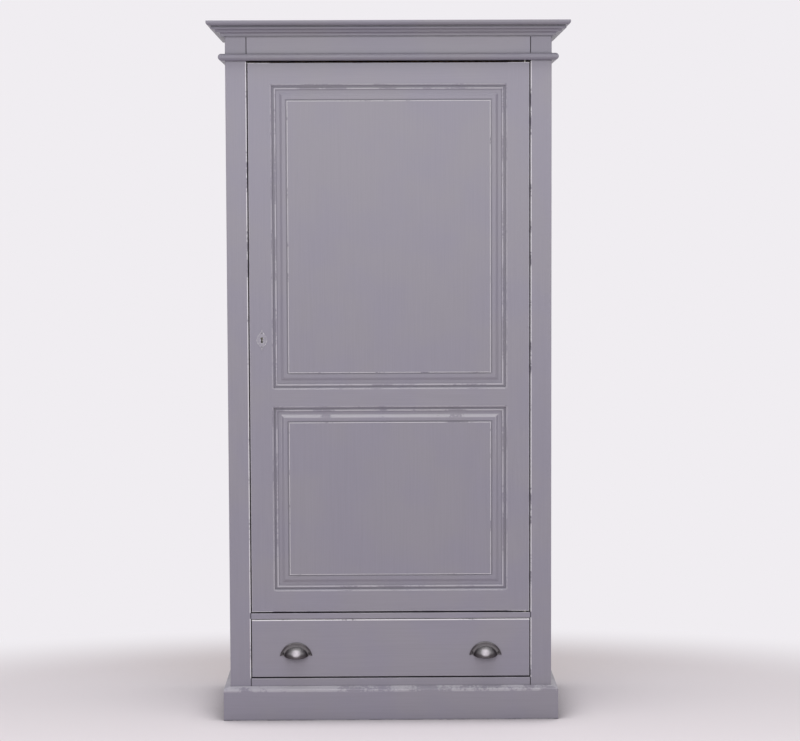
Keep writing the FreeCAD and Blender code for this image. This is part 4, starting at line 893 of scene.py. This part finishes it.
for node in nodes_named("moulding"):
    low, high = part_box(node)
    high.y = FRONT + MARGIN_DEPTH * MM
    beading = block(node + "_finished", low, high)
    work_in(BEADING)
    pick(beading, "FACE", on_margin)
    bpy.ops.mesh.delete(type="ONLY_FACE")
    pick(beading, "EDGE", lambda edge: edge.is_boundary)
    bpy.ops.mesh.bridge_edge_loops()
    bpy.ops.mesh.select_all(action="SELECT")
    bpy.ops.mesh.normals_make_consistent(inside=False)
    to_mode("OBJECT")
    soften(beading, MOULDING_ARRIS, at_beading_mitre)
    dress(beading, node, PAINT_BEADING)
    print(node, "has", len(beading.data.polygons), "faces")

# %% [markdown]
# ## The sides, painted outside and bare inside
#
# A side panel is one board, but the painter never reached its inner face. The piece carries both finishes,
# and the faces that look into the cupboard are given the second one.

# %% Side panels
for node, inward in (("side_panel_left", 1), ("side_panel_right", -1)):
    panel = softened(node, PAINT_SIDE, WOOD, BOARD_ARRIS)
    panel.data.materials.append(PINE_UPRIGHT)
    bare_faces = [face for face in panel.data.polygons if face.normal.x * inward > MOSTLY]
    for face in bare_faces:
        face.material_index = 1
    print(node, "has", len(bare_faces), "bare faces")

# %% [markdown]
# ## The bare wood
#
# Inside, the grain of each board decides which pine it gets: level for shelves, floor and bottoms that run
# from side to side, upright for the back boards, front to back for drawer sides, runners and cleats.

# %% Bare boards
BARE_ARRIS = 0.6 * MM
BARE_BOARDS = [
    (("back_board", "door_stop"), PINE_UPRIGHT),
    (("back_rail", "cupboard_floor", "shelf_1", "shelf_2", "shelf_3", "drawer_back"), PINE_LEVEL),
    (("shelf_cleats", "drawer_runner", "drawer_stops", "drawer_side", "drawer_bottom"), PINE_DEEP),
]
for starts, finish in BARE_BOARDS:
    for node in nodes_named(*starts):
        softened(node, finish, "bare_softwood", BARE_ARRIS)
    print(finish.name, "on", len(nodes_named(*starts)), "pieces")

# %% Plain fittings
for node in nodes_named("strike_plate", "pivot_", "lock_"):
    softened(node, STEEL, "steel_fittings", 0.3 * MM)
softened("escutcheon", PLATE, "escutcheon_plate", 0.4 * MM)
print("steel fittings:", nodes_named("strike_plate", "pivot_", "lock_"))

# %% [markdown]
# ## The cup pulls
#
# A cup pull is one casting: a half-round plate with a raised rim and a row of beads inside it, and a hollow
# cup like a quarter of a ball, open below for the fingers, with a rolled lip. The cup's open side is cut by
# a slanting plane, so instead of spinning a profile it is quicker to start from a ball and saw it twice.
# The plate is a disc whose front is inset and pushed back to leave the rim, and then sawn level. Every part
# takes its place, and the plate its width, from the box of the right pull's solid, mirrored for the left.

# %% Saw and join
def saw(piece, point, normal, fill=False):
    """cuts the piece by a plane and throws away what lies on the normal's side"""
    choose(piece)
    to_mode("EDIT")
    bpy.ops.mesh.select_all(action="SELECT")
    bpy.ops.mesh.bisect(plane_co=point, plane_no=normal, clear_outer=True, use_fill=fill)
    to_mode("OBJECT")


def joined(name, pieces):
    """one piece of several, settled at the origin and shaded"""
    choose(*pieces)
    bpy.ops.object.join()
    whole = fresh()
    whole.name = name
    bpy.ops.object.shade_smooth_by_angle(angle=SMOOTH)
    return whole


# %% The parts of one pull
BALL_RADIUS = 34.86 * MM
BALL_SETBACK = 7.94 * MM
CUP_WALL = 2 * MM
CUP_REACH = 26 * MM
LIP_DROP = 4.5 * MM
LIP_RADIUS = 1.4 * MM
PLATE_THICKNESS = 2 * MM
RIM_WIDTH = 2.6 * MM
RIM_HEIGHT = 1.2 * MM
PLATE_HALF = (PULL_HIGH.x - PULL_LOW.x) / 2
PLATE_RADIUS = (PLATE_HALF ** 2 + PULL_RISE ** 2) / (2 * PULL_RISE)
ROUND_EDGE = 0.45 * MM
FILLET_RADIUS = 0.9 * MM
BEAD_RADIUS = 1.1 * MM
BEAD_PITCH = 3 * MM
ROUND_STEPS = 96
UP = Vector((0, 0, 1))
TO_BACK = Vector((0, 1, 0))


def cup(middle_x):
    """the hollow cup: a ball sawn off behind the plate's face and along its lip, then given its wall"""
    centre = Vector((middle_x, FRONT + BALL_SETBACK, PULL_FOOT - BALL_SETBACK))
    bpy.ops.mesh.primitive_uv_sphere_add(segments=ROUND_STEPS, ring_count=ROUND_STEPS // 2,
                                         radius=BALL_RADIUS, location=centre)
    shell = fresh()
    root = Vector((middle_x, FRONT - 0.75 * PLATE_THICKNESS, PULL_FOOT))
    saw(shell, root, TO_BACK)
    slope = Vector((0, LIP_DROP, -CUP_REACH)).normalized()
    saw(shell, Vector((middle_x, FRONT, PULL_FOOT)), slope)
    work(shell, "SOLIDIFY", thickness=CUP_WALL, offset=-1, use_even_offset=True)

    to_lip = (Vector((middle_x, FRONT, PULL_FOOT)) - centre).dot(slope)
    ring_centre = centre + slope * to_lip
    ring_radius = math.sqrt(BALL_RADIUS ** 2 - to_lip ** 2) - CUP_WALL / 2
    lean = math.atan2(LIP_DROP, CUP_REACH)
    bpy.ops.mesh.primitive_torus_add(location=ring_centre, rotation=(lean, 0, 0), major_radius=ring_radius,
                                     minor_radius=LIP_RADIUS, major_segments=ROUND_STEPS, minor_segments=12)
    lip = fresh()
    saw(lip, root, TO_BACK, fill=True)
    foot_radius = math.sqrt(BALL_RADIUS ** 2 - (BALL_SETBACK + PLATE_THICKNESS) ** 2)
    bpy.ops.mesh.primitive_torus_add(location=(middle_x, FRONT - PLATE_THICKNESS, centre.z),
                                     rotation=(math.pi / 2, 0, 0), major_radius=foot_radius,
                                     minor_radius=FILLET_RADIUS, major_segments=ROUND_STEPS, minor_segments=8)
    fillet = fresh()
    saw(fillet, (0, 0, PULL_FOOT), -UP, fill=True)
    return [shell, lip, fillet]


def plate(middle_x):
    """the half-round plate: a disc, inset and pushed back inside its rim, sawn level at the foot"""
    thickness = PLATE_THICKNESS + RIM_HEIGHT
    height = PULL_FOOT + PULL_RISE - PLATE_RADIUS
    bpy.ops.mesh.primitive_cylinder_add(vertices=128, radius=PLATE_RADIUS, depth=thickness,
                                        location=(middle_x, FRONT - thickness / 2, height),
                                        rotation=(math.pi / 2, 0, 0))
    disc = fresh()
    to_mode("EDIT")
    pick(disc, "FACE", looks_forward)
    bpy.ops.mesh.inset(thickness=RIM_WIDTH)
    push(y=RIM_HEIGHT)
    to_mode("OBJECT")
    saw(disc, (0, 0, PULL_FOOT), -UP, fill=True)
    work(disc, "BEVEL", width=ROUND_EDGE, segments=2, limit_method="ANGLE", angle_limit=SHARP)
    return disc, height


def beads(middle_x, height):
    """small round beads in a row inside the rim"""
    row = PLATE_RADIUS - RIM_WIDTH - 1.5 * BEAD_RADIUS
    half_angle = math.acos((PULL_FOOT - height + 2 * BEAD_RADIUS) / row)
    count = 2 * int(half_angle * row / BEAD_PITCH) + 1
    made = []
    for index in range(count):
        angle = half_angle * (2 * index / (count - 1) - 1)
        across, up = row * math.sin(angle), row * math.cos(angle)
        spot = (middle_x + across, FRONT - PLATE_THICKNESS, height + up)
        bpy.ops.mesh.primitive_ico_sphere_add(subdivisions=2, radius=BEAD_RADIUS, location=spot)
        made.append(bpy.context.object)
    return made


for node, side in (("cup_pull_left", -1), ("cup_pull_right", 1)):
    disc, height = plate(side * PULL_MIDDLE)
    row_of_beads = beads(side * PULL_MIDDLE, height)
    pull = joined(node + "_cast", [disc, *cup(side * PULL_MIDDLE), *row_of_beads])
    dress(pull, node, PEWTER)
    print(node, "has", len(row_of_beads), "beads and", len(pull.data.polygons), "faces")

# %% [markdown]
# ## Screws and pins
#
# In the joinery a screw is an eight-sided stand-in that shows where it goes and which way it looks. Here
# each one becomes a real countersunk screw: a tapered head, a slot sawn across it and a shank. A copy is
# laid at each stand-in, with its slot turned as it happens to stop.

# %% Where the stand-ins are
END_ZONE = 0.8 * MM


def stand_ins(node):
    """for each solid of a node: the middle of its head's face, which way it looks, and its length"""
    merged_copy(node)
    to_mode("EDIT")
    bpy.ops.mesh.separate(type="LOOSE")
    to_mode("OBJECT")
    found = []
    for part in list(bpy.context.selected_objects):
        corners = [vertex.co.copy() for vertex in part.data.vertices]
        low, high = (Vector([side(values) for values in zip(*corners)]) for side in (min, max))
        along = max(range(3), key=lambda axis: high[axis] - low[axis])
        core = (low + high) / 2
        widths = {}
        for end in (low[along], high[along]):
            near = [corner - core for corner in corners if abs(corner[along] - end) < END_ZONE]
            widths[end] = max(math.hypot(*(out[axis] for axis in range(3) if axis != along)) for out in near)
        head = max(widths, key=widths.get)
        core[along] = head
        looks = Vector((0, 0, 0))
        looks[along] = 1 if head == high[along] else -1
        found.append((core, looks, high[along] - low[along]))
        bpy.data.objects.remove(part)
    found.sort(key=lambda item: tuple(round(value, 5) for value in item[0]))
    return found


# %% One screw, one pin
HEAD_RADIUS = 3.2 * MM
SHANK_RADIUS = 1.5 * MM
HEAD_DEPTH = 1.7 * MM
SLOT_WIDTH = 0.9 * MM
SLOT_DEPTH = 0.9 * MM
HEAD_ROUND = 0.15 * MM
PIN_HEAD_RADIUS = 1.7 * MM
PIN_HEAD_HEIGHT = 1.1 * MM
PIN_RADIUS = 0.7 * MM


def slotted_screw(length):
    """a countersunk screw with the middle of its head at the origin, looking up"""
    bpy.ops.mesh.primitive_cone_add(vertices=32, radius1=SHANK_RADIUS, radius2=HEAD_RADIUS, depth=HEAD_DEPTH,
                                    location=(0, 0, -HEAD_DEPTH / 2))
    screw = fresh()
    to_mode("EDIT")
    pick(screw, "FACE", looks_down)
    push(z=HEAD_DEPTH - length)
    to_mode("OBJECT")
    bpy.ops.mesh.primitive_cube_add(size=1, location=(0, 0, 0),
                                    scale=(3 * HEAD_RADIUS, SLOT_WIDTH, 2 * SLOT_DEPTH))
    cutter = fresh()
    work(screw, "BOOLEAN", object=cutter, operation="DIFFERENCE", solver="EXACT")
    bpy.data.objects.remove(cutter)
    work(screw, "BEVEL", width=HEAD_ROUND, segments=2, limit_method="ANGLE", angle_limit=SHARP)
    return screw


def round_pin(length):
    """a pin with a domed head whose top is at the origin, looking up"""
    bpy.ops.mesh.primitive_uv_sphere_add(segments=24, ring_count=16, radius=1,
                                         location=(0, 0, -PIN_HEAD_HEIGHT),
                                         scale=(PIN_HEAD_RADIUS, PIN_HEAD_RADIUS, PIN_HEAD_HEIGHT))
    pin = fresh()
    saw(pin, (0, 0, -PIN_HEAD_HEIGHT), -UP, fill=True)
    to_mode("EDIT")
    pick(pin, "FACE", looks_down)
    bpy.ops.mesh.inset(thickness=PIN_HEAD_RADIUS - PIN_RADIUS)
    push(z=PIN_HEAD_HEIGHT - length)
    to_mode("OBJECT")
    return pin


def driven(node, make, finish):
    """lays a copy of the modelled fastener at each stand-in of the node, and joins them"""
    chance = random.Random(node)
    copies = []
    for place, looks, length in stand_ins(node):
        fastener = make(length)
        stop = Matrix.Rotation(chance.uniform(0, math.pi), 4, "Z")
        turn = looks.to_track_quat("Z", "Y").to_matrix().to_4x4()
        fastener.data.transform(Matrix.Translation(place) @ turn @ stop)
        copies.append(fastener)
    whole = joined(node + "_driven", copies)
    print(node, "has", len(copies), "fasteners")
    dress(whole, node, finish)


driven("carcass_screws", slotted_screw, STEEL)
driven("door_screws", slotted_screw, STEEL)
driven("pull_screws", slotted_screw, PIN_METAL)
driven("escutcheon_pins", round_pin, PIN_METAL)

# %% [markdown]
# ## The stage
#
# The cabinet stands on a pale floor in front of nothing. The floor takes the shadow near the cabinet, and
# a contact shadow is painted on it there besides. It fades to the colour of the background further out,
# where it shines by itself for the camera and for reflections only, so that no horizon shows from any side.
# The fade is an oval, wider from side to side than it is deep.

# %% Floor and background
FLOOR = "#E8E1E5"
# the colour of the painted contact shadow beside the cabinet
FLOOR_PAINTED_SHADOW = "#A39DA2"
BACKGROUND = "#F0EDF1"
FLOOR_RADIUS = 14.0
# how far from the cabinet the painted contact shadow reaches
CONTACT = 0.12
# the oval's depth over its width, and where the floor starts to fade and is gone
OVAL = 0.55
NEAR = 0.66
FAR = 1.2


def seen_directly(tree):
    """1 for the camera, reflections and see-through rays, 0 for the light that falls on things"""
    path = add(tree, "LightPath")
    seen = step(tree, "MAXIMUM", path.outputs["Is Camera Ray"], path.outputs["Is Glossy Ray"])
    return step(tree, "MAXIMUM", seen, path.outputs["Is Transmission Ray"])


def studio_floor():
    """pale floor with a painted contact shadow, that fades into the background"""
    finish, tree, shader, place = new_finish("studio_floor_matt")
    oval = add(tree, "Mapping", {"Vector": place, "Scale": (OVAL, 1, 1)}).outputs[0]
    distance = add(tree, "VectorMath", {0: oval}, operation="LENGTH").outputs["Value"]
    away = between(tree, distance, NEAR, FAR)
    # a painted contact shadow: the floor is darker where the cabinet is near
    outside_painted_shadow = between(tree, openness(tree, CONTACT), 0.35, 1.0)
    feed(shader, "Base Color", blend_colour(tree, outside_painted_shadow, linear(FLOOR_PAINTED_SHADOW), linear(FLOOR)))
    shader.inputs["Roughness"].default_value = 0.9
    shader.inputs["Specular IOR Level"].default_value = 0.1
    glow = add(tree, "Emission", {"Color": linear(BACKGROUND), "Strength": 1.0})
    fade = step(tree, "MULTIPLY", away, seen_directly(tree))
    mixed = add(tree, "MixShader", {0: fade, 1: shader.outputs["BSDF"], 2: glow.outputs["Emission"]})
    output = next(node for node in tree.nodes if node.type == "OUTPUT_MATERIAL")
    tree.links.new(mixed.outputs[0], output.inputs["Surface"])
    return finish


bpy.ops.mesh.primitive_circle_add(vertices=96, radius=FLOOR_RADIUS, fill_type="NGON", location=(0, 0, 0))
floor = bpy.context.object
floor.name = "studio_floor"
floor.data.materials.append(studio_floor())

AMBIENT = 0.4
world = bpy.data.worlds.new("studio_surround")
bpy.context.scene.world = world
world.use_nodes = True
sky = world.node_tree
sky.nodes.clear()
soft = add(sky, "Background", {"Color": linear("#FFFFFF"), "Strength": AMBIENT})
plain = add(sky, "Background", {"Color": linear(BACKGROUND), "Strength": 1.0})
both = add(sky, "MixShader", {0: seen_directly(sky), 1: soft.outputs[0], 2: plain.outputs[0]})
add(sky, "OutputWorld", {"Surface": both.outputs[0]})
print("the floor fades out at", FAR, "m")

# %% [markdown]
# ## The lamps
#
# One large soft box stands in front of the cabinet, above eye height, like a big window. It is near, so its
# light falls off from the cornice to the plinth. A pale ceiling panel lights the tops of mouldings and
# leaves their undersides dark, which is what makes a moulding read.

# %% Key lamp and ceiling
def soft_box(name, place, target, width, height, power):
    """a rectangular area lamp that looks at the target and isn't seen itself"""
    bpy.ops.object.light_add(type="AREA", location=place)
    lamp = bpy.context.object
    lamp.name = name
    lamp.data.shape = "RECTANGLE"
    lamp.data.size = width
    lamp.data.size_y = height
    lamp.data.energy = power
    lamp.visible_camera = False
    lamp.rotation_euler = (Vector(target) - Vector(place)).to_track_quat("-Z", "Y").to_euler()
    return lamp


key = soft_box("key_soft_box", place=(-0.1, -3.8, 2.1), target=(0, -0.2, 1.0),
               width=4.4, height=1.6, power=64)
ceiling = soft_box("ceiling_panel", place=(0, -1.2, 5.0), target=(0, -1.2, 0),
                   width=5.0, height=4.0, power=145)
print("lamps:", key.data.energy, "W in front,", ceiling.data.energy, "W above")

# %% [markdown]
# ## The camera
#
# The camera stands well back with a long lens, at chest height, and looks very slightly down. It is tilted
# by a fraction of a degree, as a hand-held camera is.

# %% Camera
CAMERA_PLACE = (-0.0269, -6.373, 1.391)
LENS = 102.4
PITCH = math.radians(4.01)
YAW = math.radians(-0.51)
ROLL = math.radians(-0.214)
bpy.ops.object.camera_add(location=CAMERA_PLACE)
camera = bpy.context.object
camera.name = "camera"
camera.data.lens = LENS
camera.data.sensor_width = 36
level = Matrix.Rotation(math.pi / 2 - PITCH, 4, "X")
turn = Matrix.Rotation(YAW, 4, "Z") @ level @ Matrix.Rotation(ROLL, 4, "Z")
camera.matrix_world = Matrix.Translation(CAMERA_PLACE) @ turn
bpy.context.scene.camera = camera
bpy.context.scene.view_settings.view_transform = "Standard"
print("camera", round(-CAMERA_PLACE[1], 2), "m away with a", LENS, "mm lens")
